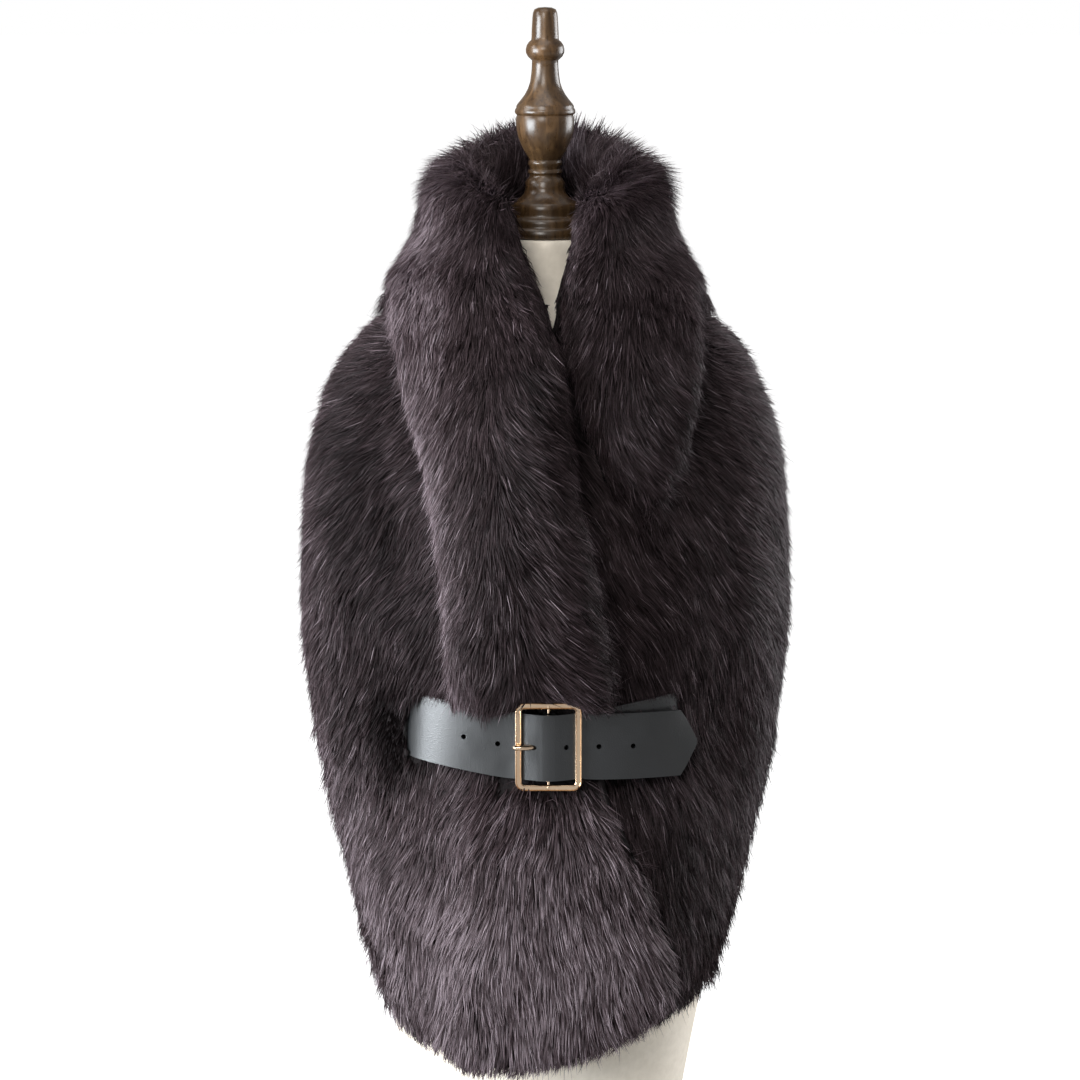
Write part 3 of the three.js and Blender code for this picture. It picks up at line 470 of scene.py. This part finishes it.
# Painted light and shade on the front's pile, darker where shadow falls (the belt's slit, beside
# the left roll) and lighter where light falls: x, z, half width, half height, change
paintedLightPatches = [
    (-0.139, 0.378, 0.014, 0.045, -0.5), (-0.155, 0.61, 0.045, 0.15, -0.22),
    (-0.12, 0.47, 0.03, 0.08, -0.15), (0.11, 0.62, 0.05, 0.14, -0.06),
    (0.10, 0.27, 0.03, 0.12, -0.08), (0.0, 0.2, 0.12, 0.09, 0.1),
    (0.17, 0.25, 0.025, 0.08, 0.08), (-0.17, 0.66, 0.035, 0.1, -0.1),
    (-0.02, 0.32, 0.12, 0.03, 0.08), (0.0, 0.9, 0.12, 0.035, 0.14),
]
# Near the neck's opening tips stand off by a set reach: half width, front, lowest and highest root
neckHolds = [
    {"half": 0.036, "front": -0.08, "low": 0.7, "high": 0.775, "reach": 0.010},
    {"half": 0.05, "front": -0.05, "low": 0.775, "high": 0.845, "reach": 0.002},
]
# The height that the belt lies at, and how tips are drawn back until they only just lie on it
beltHold = {"low": 0.33, "high": 0.43, "lift": 0.0015, "step": 0.82, "tries": 5, "look": 0.03}
# No tip covers the buckle's frame: its middle, half width, lower limit, top and front
buckleHold = {"middle": 0.003, "half": 0.032, "beside": 0.033, "low": 0.39, "top": 0.416,
              "front": -0.129, "slope": 0.16}
# The neck's opening: the heights and places of its middle line, and the roots beside it
openingHold = {"middle": ((0.75, 0.82), (0.006, -0.001)), "front": -0.06,
               "low": 0.752, "high": 0.85, "short": 0.7, "across": 0.2}
# The belt's slit in the upper front, where the pile is short, and darkened by painted shade
slitHold = {"x": -0.137, "wide": 0.018, "z": 0.38, "tall": 0.042, "short": 0.75, "paintedShade": 0.95}


# Each point's value as the mean of its neighbours', several times over
def evened(mesh, values, times):
    pairs = np.empty(len(mesh.edges) * 2, np.int32)
    mesh.edges.foreach_get("vertices", pairs)
    a, b = pairs.reshape(-1, 2).T
    count = np.bincount(pairs, minlength=len(values)).astype(float)
    wide = values if values.ndim > 1 else values[:, None]
    for _ in range(times):
        sums = [np.bincount(a, wide[b, k], len(wide)) + np.bincount(b, wide[a, k], len(wide))
                for k in range(wide.shape[1])]
        total = np.stack(sums, 1)
        wide = 0.5 * wide + 0.5 * total / np.maximum(count, 1)[:, None]
    return wide if values.ndim > 1 else wide[:, 0]


def treeOf(nodes):
    points, faces = [], []
    for node in nodes:
        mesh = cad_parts[node].data
        start = len(points)
        points += [tuple(v.co) for v in mesh.vertices]
        faces += [tuple(start + i for i in face.vertices) for face in mesh.polygons]
    return BVHTree.FromPolygons(points, faces)


def spreadDirections(count):
    k = np.arange(count) + 0.5
    lift = 1 - 0.86 * k / count
    turn = k * pi * (3 - 5 ** 0.5)
    level = np.sqrt(1 - lift ** 2)
    return np.stack([level * np.cos(turn), level * np.sin(turn), lift], 1)


# The share of the sky that each point of a wall sees past everything else
def opennessOf(mesh, tree, plan):
    points, normals = numbers(mesh.vertices, "co", 3), numbers(mesh.vertices, "normal", 3)
    rays = spreadDirections(plan["openRays"])
    found = np.zeros(len(points))
    for i, (point, normal) in enumerate(zip(points, normals)):
        turn = Vector((0, 0, 1)).rotation_difference(Vector(normal)).to_matrix()
        start = Vector(point + normal * plan["lift"])
        hits = (tree.ray_cast(start, turn @ Vector(ray), plan["openReach"])[0] for ray in rays)
        found[i] = sum(hit is None for hit in hits) / len(rays)
    return found


def keepValues(mesh, name, values):
    data = mesh.attributes.new(name, "FLOAT", "POINT").data
    data.foreach_set("value", values.astype(np.float32))


def makeWall(node, everything, plan):
    wall = copyOfNode(node, pieceName(node, "Cloth"))
    edit(wall)
    bpy.ops.mesh.tris_convert_to_quads(face_threshold=radians(30), shape_threshold=radians(50))
    leaveEdit()
    keepValues(wall.data, "open", opennessOf(wall.data, everything, plan))
    addModifier(wall, "SUBSURF", levels=plan["wallStep"], render_levels=plan["wallStep"])
    addModifier(wall, "SMOOTH", factor=0.5, iterations=3)
    mesh = wall.data
    points = numbers(mesh.vertices, "co", 3)
    normals = unit(evened(mesh, numbers(mesh.vertices, "normal", 3), 3))
    own = BVHTree.FromObject(wall, bpy.context.evaluated_depsgraph_get())
    full = plan["pile"] - plan["crestPile"] * fade(points[:, 2], *plan["crest"])
    depth = np.full(len(points), plan["loneDepth"])
    for i, (point, normal) in enumerate(zip(points, normals)):
        start = Vector(point - normal * 0.0003)  # just under the surface
        distance = own.ray_cast(start, Vector(-normal), plan["thickest"])[3]
        if distance is not None:
            depth[i] = min(full[i], distance * (0.5 - plan["leastWall"] / 2))
    depth = np.minimum(depth, evened(mesh, depth, 4))
    moved = points - normals * depth[:, None]
    mesh.vertices.foreach_set("co", moved.astype(np.float32).ravel())
    keepValues(mesh, "depth", depth)
    mesh.update()
    wake(wall)
    bpy.ops.object.shade_smooth()
    return wall


# Soft waves over space, between about -1 and 1
def waves(points, size, rng, count=7):
    axes = unit(rng.normal(size=(count, 3))) * (2 * pi / size) * rng.uniform(0.6, 1.5, (count, 1))
    return np.sin(points @ axes.T + rng.uniform(0, 2 * pi, count)).sum(1) / np.sqrt(count / 2) / 1.4


def capeComb(points, plan):
    around = np.arctan2(points[:, 0], -points[:, 1])
    outward = np.sign(around)[:, None] * np.stack([np.cos(around), np.sin(around), 0 * around], 1)
    heights, angles = np.array(combRows).T
    angle = np.radians(np.interp(points[:, 2], heights, angles)) * plan["sideways"]
    angle *= fade(np.abs(around), 0, radians(14))
    return down * np.cos(angle)[:, None] + outward * np.sin(angle)[:, None]


# Below the belt the upper front fans out towards its edge
def fanned(comb, points):
    around = np.degrees(np.arctan2(points[:, 0], -points[:, 1]))
    turn = np.radians(22) * fade(around, 0, 30) * fade(points[:, 2], 0.36, 0.3)
    return comb + np.array([1.0, 0, 0]) * np.tan(turn)[:, None]


# Round the neck the pile runs up the inner side, over the crest and down the outer side
def overCrest(comb, points, normals):
    outward = unit(unit(points * [1, 1, 0]) + forward * 0.7 * (points[:, 1:2] < 0))
    flow = outward * normals[:, 2:] + down * (normals * outward).sum(1, keepdims=True)
    share = fade(points[:, 2:], 0.835, 0.865)
    return comb * (1 - share) + flow * share


# On a collar the pile parts along the front of the roll
def collarComb(points, normals, spine, part):
    line = np.array(spine) * 0.001
    start, step = line[:-1], np.diff(line, axis=0)
    offset = points[:, None] - start
    share = np.clip((offset * step).sum(2) / (step ** 2).sum(1), 0, 1)
    away = offset - share[..., None] * step
    nearest = np.argmin((away ** 2).sum(2), 1)
    away = away[np.arange(len(points)), nearest]
    along = unit(step)[nearest]
    away -= along * (away * along).sum(1, keepdims=True)
    away /= np.maximum(np.linalg.norm(away, axis=1, keepdims=True), 0.02)
    outward = unit(points * [1, 1, 0])
    across = unit(np.cross(along, outward))
    lift = np.clip(normals[:, 2:] * 1.4 - 0.2, 0, 1)
    parted = across * (away * across).sum(1, keepdims=True) * (1 - lift)
    parted *= np.where(parted[:, :1] < 0, *part)
    return parted + forward * lift * (points[:, 1:2] < 0) + down * (0.85 - 0.1 * lift)


# The way that the pile lies at each root, with a little swirl
def combedWay(node, root, normal, plan, rng):
    comb = capeComb(root, plan)
    if node in collarSpines:
        share = fade(root[:, 2:], plan["merge"], plan["merge"] + 0.12)
        rolled = collarComb(root, normal, collarSpines[node], plan["part"])
        comb = comb * (1 - share) + rolled * share
    if plan.get("fan"):
        comb = fanned(comb, root)
    comb = overCrest(comb, root, normal)
    side = unit(np.cross(comb, normal))
    swirl = sum(share * waves(root, size, rng) for share, size in strandPlan["swirls"])
    swirl += rng.normal(0, strandPlan["stray"], len(root))
    comb = comb + side * swirl[:, None]
    return unit(comb - normal * (comb * normal).sum(1, keepdims=True) + 1e-6)


# Where the belt lies over a place, the point on the belt's outer face
def overBelt(place, out):
    return beltTree.ray_cast(place + out * beltHold["look"], -out, beltHold["look"])[0]


# A tip that would be under the belt hangs over its edge instead
def drawnBack(start, place, out):
    laid = None
    for _ in range(beltHold["tries"]):
        hit = overBelt(place, out)
        if not hit:
            break
        laid = hit + out * beltHold["lift"]
        place = start + (place - start) * beltHold["step"]
    return laid


def heldReach(root):
    held = np.zeros(len(root))
    for hold in neckHolds:
        inside = (np.abs(root[:, 0]) < hold["half"]) & (root[:, 1] < hold["front"])
        inside &= (root[:, 2] > hold["low"]) & (root[:, 2] < hold["high"])
        held[inside] = hold["reach"]
    return held


# Tips lie on the solids' surface, reach past their edges, and hang a little way over the belt
def laidTips(root, tip, normal, stand):
    laid = np.empty_like(tip)
    held = heldReach(root)
    for i in range(len(tip)):
        place, start, out = Vector(tip[i]), Vector(root[i]), Vector(normal[i])
        aside = abs(place.x - buckleHold["middle"])
        nearBelt = beltHold["low"] < place.z < beltHold["high"] and aside > buckleHold["beside"]
        if nearBelt and not overBelt(start, out):
            back = drawnBack(start, place, out)
            if back:
                laid[i] = back
                continue
        level = buckleHold["top"] + buckleHold["slope"] * max(0.0, buckleHold["front"] - place.y)
        if aside < buckleHold["half"] and place.y < 0 and buckleHold["low"] < place.z < level:
            share = (start.z - level) / (start.z - place.z + 1e-6)
            laid[i] = start + (place - start) * min(1.0, max(0.02, share))
            continue
        spot, up = furTree.find_nearest(place)[:2]
        off = place - spot
        far = off.length
        if off.dot(up) > 0 and far > 1e-6:
            past = min(1.0, max(0.0, (0.7 - abs(off.dot(out)) / far) / 0.4))
            reach = furPlan["bodyReach"] + (furPlan["edgeReach"] - furPlan["bodyReach"]) * past
            spot = spot + off * min(1.0, (held[i] or reach) / far)
        laid[i] = spot + up * float(stand[i])
    return laid


# Roots spread over the wall, fewer of them where it sees little sky
def scatterRoots(mesh, count, rng):
    mesh.calc_loop_triangles()
    corners = np.empty(len(mesh.loop_triangles) * 3, np.int32)
    mesh.loop_triangles.foreach_get("vertices", corners)
    corners = corners.reshape(-1, 3)
    points = numbers(mesh.vertices, "co", 3)
    normals = unit(evened(mesh, numbers(mesh.vertices, "normal", 3), 2))
    depth = numbers(mesh.attributes["depth"].data, "value", 1)
    openness = numbers(mesh.attributes["open"].data, "value", 1)
    a, b, c = (points[corners[:, k]] for k in range(3))
    area = np.linalg.norm(np.cross(b - a, c - a), axis=1) / 2
    high = fade(points[corners].mean(1)[:, 2], 0.83, 0.86)
    dense = openness[corners].mean(1) * furPlan["openGain"] - furPlan["openLoss"]
    weight = area * np.clip(dense + furPlan["crestGain"] * high, 0, 1)
    pick = rng.choice(len(area), count, p=weight / weight.sum())
    mix = rng.dirichlet((1, 1, 1), count)

    def at(values):
        return (values[corners[pick]] * (mix[..., None] if values.ndim > 1 else mix)).sum(1)

    return at(points), unit(at(normals)), at(depth)


# The tuft that each strand belongs to, by its nearest middle strand
def tuftsOf(root, rng):
    middles = rng.choice(len(root), max(1, len(root) // furPlan["clump"]), replace=False)
    finder = KDTree(len(middles))
    for i, k in enumerate(middles):
        finder.insert(root[k], i)
    finder.balance()
    return middles[np.array([finder.find(place)[1] for place in root])]


# How much of the belt's slit a root stands in, and how near it is to the neck's opening
def nearSlit(root):
    x = (root[:, 0] - slitHold["x"]) / slitHold["wide"]
    z = (root[:, 2] - slitHold["z"]) / slitHold["tall"]
    return np.exp(-x ** 2 - z ** 4) * (root[:, 1] < 0)


def nearOpening(root):
    near = np.maximum(fade(root[:, 0], -0.002, 0.008), 0.2) * (root[:, 1] < openingHold["front"])
    near = near * fade(np.abs(root[:, 0]), 0.052, 0.028)
    return near * fade(root[:, 2], 0.765, 0.785) * fade(root[:, 2], 0.86, 0.84)


# Strands beside the neck's opening whose tips would reach over to its other side
def acrossOpening(root, tip):
    middle = np.interp(root[:, 2], *openingHold["middle"])
    across = (root[:, 0] - middle) * (tip[:, 0] - middle) < 0
    beside = (root[:, 2] > openingHold["low"]) & (root[:, 2] < openingHold["high"])
    return across & beside & (root[:, 1] < openingHold["front"])


# Each strand's shade, from 0 for the darkest to 1 for the lightest, with painted light and shade
# added by place
def shadesOf(root, normal, own, guard, plan, rng):
    count = len(root)
    shade = shadePlan["middle"] + plan["tone"] + rng.normal(0, shadePlan["tufts"], count)[own]
    shade += rng.normal(0, shadePlan["strands"], count)
    shade += shadePlan["drift"] * waves(root, 0.08, rng)
    # Painted light below the belt on the upper front, and painted shade on the under front
    shade += plan.get("low", 0) * fade(root[:, 2], 0.4, 0.2)
    # Painted light on faces turned to either side, as if lit from there
    shade += plan.get("paintedSideLight", shadePlan["edges"]) * fade(np.abs(normal[:, 0]), 0.5, 0.9)
    # Painted light in a band down the outer side of the left roll, as if lit from the left, on the
    # front only
    inside = (root[:, 0] - np.interp(root[:, 2], (0.45, 0.79), (-0.078, -0.1))) / 0.025
    paintedLeftBand = plan.get("paintedLeftLight", 0) * np.interp(root[:, 2], (0.5, 0.7), (0.55, 1.0))
    front = fade(root[:, 1], 0.02, -0.04)
    shade += paintedLeftBand * np.exp(-inside.clip(0) ** 2) * front
    # Painted light on the crest at the back of the neck
    shade += shadePlan["crest"] * fade(root[:, 2], 0.85, 0.88) * (root[:, 1] > 0)
    # Painted shadows and painted light, patch by patch on the front
    for x, z, wide, tall, change in paintedLightPatches:
        off = ((root[:, 0] - x) / wide) ** 2 + ((root[:, 2] - z) / tall) ** 2
        shade += change * np.exp(-off) * front
    return np.where(guard, shade + shadePlan["guards"], shade).clip(0.02, 0.98)


def growPile(node, wall, plan):
    rng = np.random.default_rng(plan["seed"])
    count = plan["strands"] // 1
    root, normal, deep = scatterRoots(wall.data, count, rng)
    comb = combedWay(node, root, normal, plan, rng)
    side = np.cross(comb, normal)
    length = rng.uniform(*strandPlan["length"], count)
    length = length * (1 + strandPlan["lengthDrift"] * waves(root, 0.05, rng))
    guard = rng.random(count) < strandPlan["guards"]
    length = np.where(guard, length * strandPlan["guardLength"], length)

    # Tips are drawn together in tufts and laid on the solid's surface
    tip = root + comb * (length * strandPlan["tipAlong"])[:, None] + normal * deep[:, None]
    own = tuftsOf(root, rng)
    pull = rng.uniform(*plan["pull"], count)[:, None]
    tip = tip + (tip[own] + 0.25 * (root - root[own]) - tip) * pull
    stand = rng.normal(0.0, strandPlan["tipUneven"], count)
    stand = stand + strandPlan["tipDrift"] * waves(root, 0.02, rng)
    stand = np.where(guard, np.abs(stand) * 2.0 + 0.002, stand)
    crest = np.clip(normal[:, 2] * 2 - 0.3, 0, 1) * fade(root[:, 2], 0.84, 0.87)
    loft = rng.uniform(0.0, strandPlan["crestLoft"], count)
    stand += crest * loft * (1 + 0.6 * (root[:, 0] > 0.02))
    tip = laidTips(root, tip, normal, stand)
    across = acrossOpening(root, tip)[:, None]
    tip = np.where(across, root + (tip - root) * openingHold["across"], tip)
    slit = nearSlit(root)
    drawnIn = np.maximum(slitHold["short"] * slit, openingHold["short"] * nearOpening(root))
    tip += (root - tip) * drawnIn[:, None]

    # The middles stand off the wall, but no further than a short strand's tip
    middle = root + comb * (length * strandPlan["bendAlong"])[:, None]
    middle += normal * (deep * strandPlan["bendOut"])[:, None]
    middle += 0.3 * pull * (middle[own] - middle)
    short = np.linalg.norm(tip - root, axis=1) < 1.6 * np.linalg.norm(middle - root, axis=1)
    middle = np.where(short[:, None], root + (tip - root) * 0.5, middle)
    shade = shadesOf(root, normal, own, guard, plan, rng)
    width = rng.uniform(*strandPlan["width"], count)
    width = np.where(guard, width * strandPlan["guardWidth"], width)
    stations = (root, middle, tip)
    # Painted shade in the slit: strands there are dimmed by squeezing their V towards the dark root
    paintedBrightness = 1 - slitHold["paintedShade"] * slit
    return strandsMesh(pieceName(node, "Pile"), stations, side, normal, width, shade, paintedBrightness, rng)


# Joined blades, each of a quad and a pointed end, rounded by their normals
def strandsMesh(name, stations, side, normal, width, shade, paintedBrightness, rng):
    root, middle, tip = stations
    count = len(root)
    twist = rng.uniform(-strandPlan["twist"], strandPlan["twist"], count)[:, None]
    side = unit(side * np.cos(twist) + normal * np.sin(twist))
    half = side * (width / 2)[:, None]
    points = [root - half, root + half, middle - half * 0.85, middle + half * 0.85, tip]
    points = np.stack(points, 1)
    order = np.array([0, 1, 3, 2, 2, 3, 4])  # a quad from root to middle, then the pointed end
    corners = (np.arange(count)[:, None] * 5 + order).astype(np.int32)
    mesh = bpy.data.meshes.new(name)
    mesh.vertices.add(count * 5)
    mesh.vertices.foreach_set("co", points.astype(np.float32).ravel())
    mesh.loops.add(count * 7)
    mesh.loops.foreach_set("vertex_index", corners.ravel())
    mesh.polygons.add(count * 2)
    starts = np.arange(count)[:, None] * 7 + [0, 4]
    mesh.polygons.foreach_set("loop_start", starts.astype(np.int32).ravel())
    mesh.polygons.foreach_set("use_smooth", np.ones(count * 2, bool))
    u = shade[:, None] + np.array([-0.008, 0.008, 0.008, -0.008, -0.008, 0.008, 0.0])
    # Along V; where painted shade dims a strand, its V is squeezed towards the dark root
    v = paintedBrightness[:, None] * np.array([0.01, 0.01, 0.45, 0.45, 0.45, 0.45, 0.99])
    shadeAlong = np.stack([u, v], 2).astype(np.float32)
    mesh.uv_layers.new(name=bakeMap).uv.foreach_set("vector", shadeAlong.ravel())
    mesh.update(calc_edges=True)
    face = unit(np.cross(side, unit(tip - middle)))
    face *= np.sign((face * normal).sum(1, keepdims=True) + 1e-9)
    lean = side * strandPlan["roundness"]
    bent = [face - lean, face + lean, face - lean, face + lean, face]
    bent = unit(np.stack(bent, 1)).reshape(-1, 3)
    mesh.normals_split_custom_set_from_vertices(bent.astype(np.float32))
    piece = bpy.data.objects.new(name, mesh)
    bpy.context.scene.collection.objects.link(piece)
    return piece


everySolid = treeOf(sorted(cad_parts))
furTree = treeOf(furNodes)
beltTree = treeOf(["belt_strap"])
for node in furNodes:
    wall = makeWall(node, everySolid, furPlan)
    pile = growPile(node, wall, pilePlans[node])
    finishPiece(pile, "fur", pileMaterial)
    finishPiece(wall, "fur", groundMaterial, node)
    print(node, "made:", len(wall.data.polygons), "and", len(pile.data.polygons), "faces")


# Each corner's normal as the mean of the faces near it that look the same way
def evenNormals(mesh, reach):
    centres, facing = numbers(mesh.polygons, "center", 3), numbers(mesh.polygons, "normal", 3)
    area = numbers(mesh.polygons, "area", 1)
    points = numbers(mesh.vertices, "co", 3)
    even = np.zeros((len(mesh.loops), 3))
    for face in mesh.polygons:
        alike = facing @ facing[face.index] > 0.7
        for loop in face.loop_indices:
            far = ((centres[alike] - points[mesh.loops[loop].vertex_index]) ** 2).sum(1)
            weight = area[alike] * np.exp(-far / (2 * reach ** 2)) + 1e-12
            even[loop] = (facing[alike] * weight[:, None]).sum(0)
    mesh.normals_split_custom_set(unit(even).astype(np.float32))


# The belt, its edges rounded over
beltPlan = {"round": 0.0006, "even": 0.012}


def makeBelt(plan):
    belt = copyOfNode("belt_strap", "BeltStrap")
    roundEdges(belt, plan["round"], 2)
    wake(belt)
    bpy.ops.object.shade_smooth()
    evenNormals(belt.data, plan["even"])
    finishPiece(belt, "leather", leatherMaterial, "belt_strap")


makeBelt(beltPlan)


# The buckle's frame: a block rounded at its corners, opened, and rounded over
frameCut = {
    "centre": (0.003, -0.1266, 0.374), "width": 0.060, "height": 0.081, "depth": 0.004,
    "bar": 0.0062, "corner": 0.0085, "round": 0.0014,
    "groove": 0.0012, "grooveEdge": 0.0007, "centreBar": 0.0013,
}


def makeBuckleFrame(cut):
    size = (cut["width"], cut["depth"], cut["height"])
    bpy.ops.mesh.primitive_cube_add(size=1, location=cut["centre"], scale=size)
    ring = bpy.context.object
    ring.name = "BuckleFrame"
    wake(ring)
    bpy.ops.object.transform_apply(location=True, rotation=True, scale=True)
    edit(ring, False)
    pickEdges(ring, lambda a, b: abs(a.x - b.x) < 1e-5 and abs(a.z - b.z) < 1e-5)
    bpy.ops.mesh.bevel(offset=cut["corner"], segments=8, affect="EDGES")
    pickFaces(ring, lambda face: abs(face.normal.y) > 0.9)
    bpy.ops.mesh.inset(thickness=cut["bar"])
    bpy.ops.mesh.bridge_edge_loops()
    leaveEdit()
    roundEdges(ring, cut["round"], 4)
    edit(ring, False)
    pickFaces(ring, lambda face: face.normal.y < -0.98)
    bpy.ops.mesh.inset(thickness=cut["grooveEdge"])
    bpy.ops.transform.translate(value=(0, cut["groove"], 0))
    leaveEdit()
    wake(ring)
    bpy.ops.object.shade_smooth_by_angle(angle=radians(40))

    # The bar in the middle, under the strap
    length = cut["height"] - cut["bar"]
    bpy.ops.mesh.primitive_cylinder_add(vertices=24, radius=cut["centreBar"], depth=length,
                                        location=cut["centre"])
    bar = bpy.context.object
    bpy.ops.object.shade_smooth_by_angle(angle=radians(40))
    wake(ring, bar)
    bpy.ops.object.join()
    finishPiece(ring, "gold", goldMaterial, "buckle_frame")


makeBuckleFrame(frameCut)


# The prong, thicker and shorter than its solid, dipping into the hole sooner
prongCut = {"thicker": 0.0005, "loop": -0.0305, "shorter": 0.0035,
            "dipFrom": -0.0095, "dipTo": -0.0065, "dip": 0.003}


def makeProng(cut):
    prong = copyOfNode("buckle_prong", "BuckleProng")
    edit(prong)
    bpy.ops.transform.shrink_fatten(value=cut["thicker"])
    pickFaces(prong, lambda face: face.center.x < cut["loop"])
    bpy.ops.transform.translate(value=(cut["shorter"], 0, 0))
    pickFaces(prong, lambda face: cut["dipFrom"] < face.center.x < cut["dipTo"])
    bpy.ops.transform.translate(value=(0, cut["dip"], 0))
    leaveEdit()
    bpy.ops.object.shade_smooth_by_angle(angle=radians(50))
    finishPiece(prong, "gold", goldMaterial, "buckle_prong")


makeProng(prongCut)
print("belt and buckle made")


# The finial, spun from its profile: radius and rise above the neck, in millimetres
finialProfile = [
    (0, 0), (38.6, 0), (40.2, 1.2), (40.5, 4), (40.2, 7.6), (38.6, 9.6), (36.6, 10.6),
    (36.2, 12.4), (36.6, 14.8), (35.6, 17.2), (33.2, 18.6), (31.0, 19.6), (30.4, 21.6),
    (31.0, 25.5), (30.6, 30.4), (28.8, 32.0), (26.0, 33.4), (21.6, 36.6), (18.6, 40.5),
    (17.6, 45), (17.8, 50), (16.0, 53), (14.2, 54.6), (14.0, 57), (15.6, 58.6), (15.4, 60.6),
    (13.8, 62), (14.0, 64), (15.4, 66), (15.2, 68.4), (14.2, 70), (15.8, 73), (18.8, 78),
    (21.8, 84), (24.2, 90.5), (25.8, 97), (26.4, 103), (26.2, 108.6), (25.4, 110.4),
    (26.6, 111.4), (27.5, 113), (27.3, 115.2), (26.0, 117), (26.2, 118.2), (25.0, 120.4),
    (22.0, 124), (18.4, 128.8), (15.6, 134), (13.6, 140), (12.6, 147), (12.0, 154), (11.9, 159.4),
    (13.2, 160.6), (15.6, 162.8), (17.3, 166.2), (17.5, 169.4), (16.6, 173), (14.6, 176),
    (12.6, 177.6), (12.3, 180), (12.0, 188), (11.4, 198), (10.9, 202), (9.6, 205), (6, 206.6),
    (0, 207),
]
neckTop = 0.82


def makeFinial(profile):
    mesh = bpy.data.meshes.new("FormFinial")
    points = [(radius * 0.001, 0, neckTop + rise * 0.001) for radius, rise in profile]
    mesh.from_pydata(points, [(i, i + 1) for i in range(len(points) - 1)], [])
    finial = bpy.data.objects.new("FormFinial", mesh)
    bpy.context.scene.collection.objects.link(finial)
    wake(finial)
    bpy.ops.object.mode_set(mode="EDIT")
    bpy.ops.mesh.select_all(action="SELECT")
    bpy.ops.mesh.spin(steps=72, angle=2 * pi, center=(0, 0, 0), axis=(0, 0, 1))
    bpy.ops.mesh.select_all(action="SELECT")
    bpy.ops.mesh.remove_doubles(threshold=0.00002)
    bpy.ops.mesh.normals_make_consistent(inside=False)
    leaveEdit()
    bpy.ops.object.shade_smooth_by_angle(angle=radians(50))
    finishPiece(finial, "wood", woodMaterial, "form_finial")


makeFinial(finialProfile)


# The form: smoothed, its base kept flat, with a map that runs with the cover's threads
formPlan = {"base": 1e-4, "top": 0.8195, "crease": 0.85, "smooth": 2, "girthRadius": 0.13}


def threadMap(mesh, radius):
    points = numbers(mesh.vertices, "co", 3)
    corners = np.empty(len(mesh.loops), np.int32)
    mesh.loops.foreach_get("vertex_index", corners)
    turn = np.arctan2(points[:, 0], -points[:, 1])[corners]
    starts = np.empty(len(mesh.polygons), np.int32)
    mesh.polygons.foreach_get("loop_start", starts)
    sizes = np.diff(np.append(starts, len(corners)))
    first = np.repeat(turn[starts], sizes)
    turn = turn + 2 * pi * np.round((first - turn) / (2 * pi))  # no face spans the back's jump
    flat = np.stack([turn * radius, points[corners, 2]], 1)
    mesh.uv_layers.new(name="thread").uv.foreach_set("vector", flat.astype(np.float32).ravel())


def makeForm(plan):
    form = copyOfNode("form_torso", "FormTorso")
    edit(form)
    bpy.ops.mesh.tris_convert_to_quads()
    pickFaces(form, lambda face: face.center.z < plan["base"] or face.center.z > plan["top"])
    bpy.ops.mesh.region_to_loop()
    bpy.ops.transform.edge_crease(value=plan["crease"])
    leaveEdit()
    addModifier(form, "SUBSURF", levels=plan["smooth"], render_levels=plan["smooth"])
    wake(form)
    bpy.ops.object.shade_smooth_by_angle(angle=radians(60))
    threadMap(form.data, plan["girthRadius"])
    finishPiece(form, "cover", coverMaterial, "form_torso")


makeForm(formPlan)
print("form and finial made")
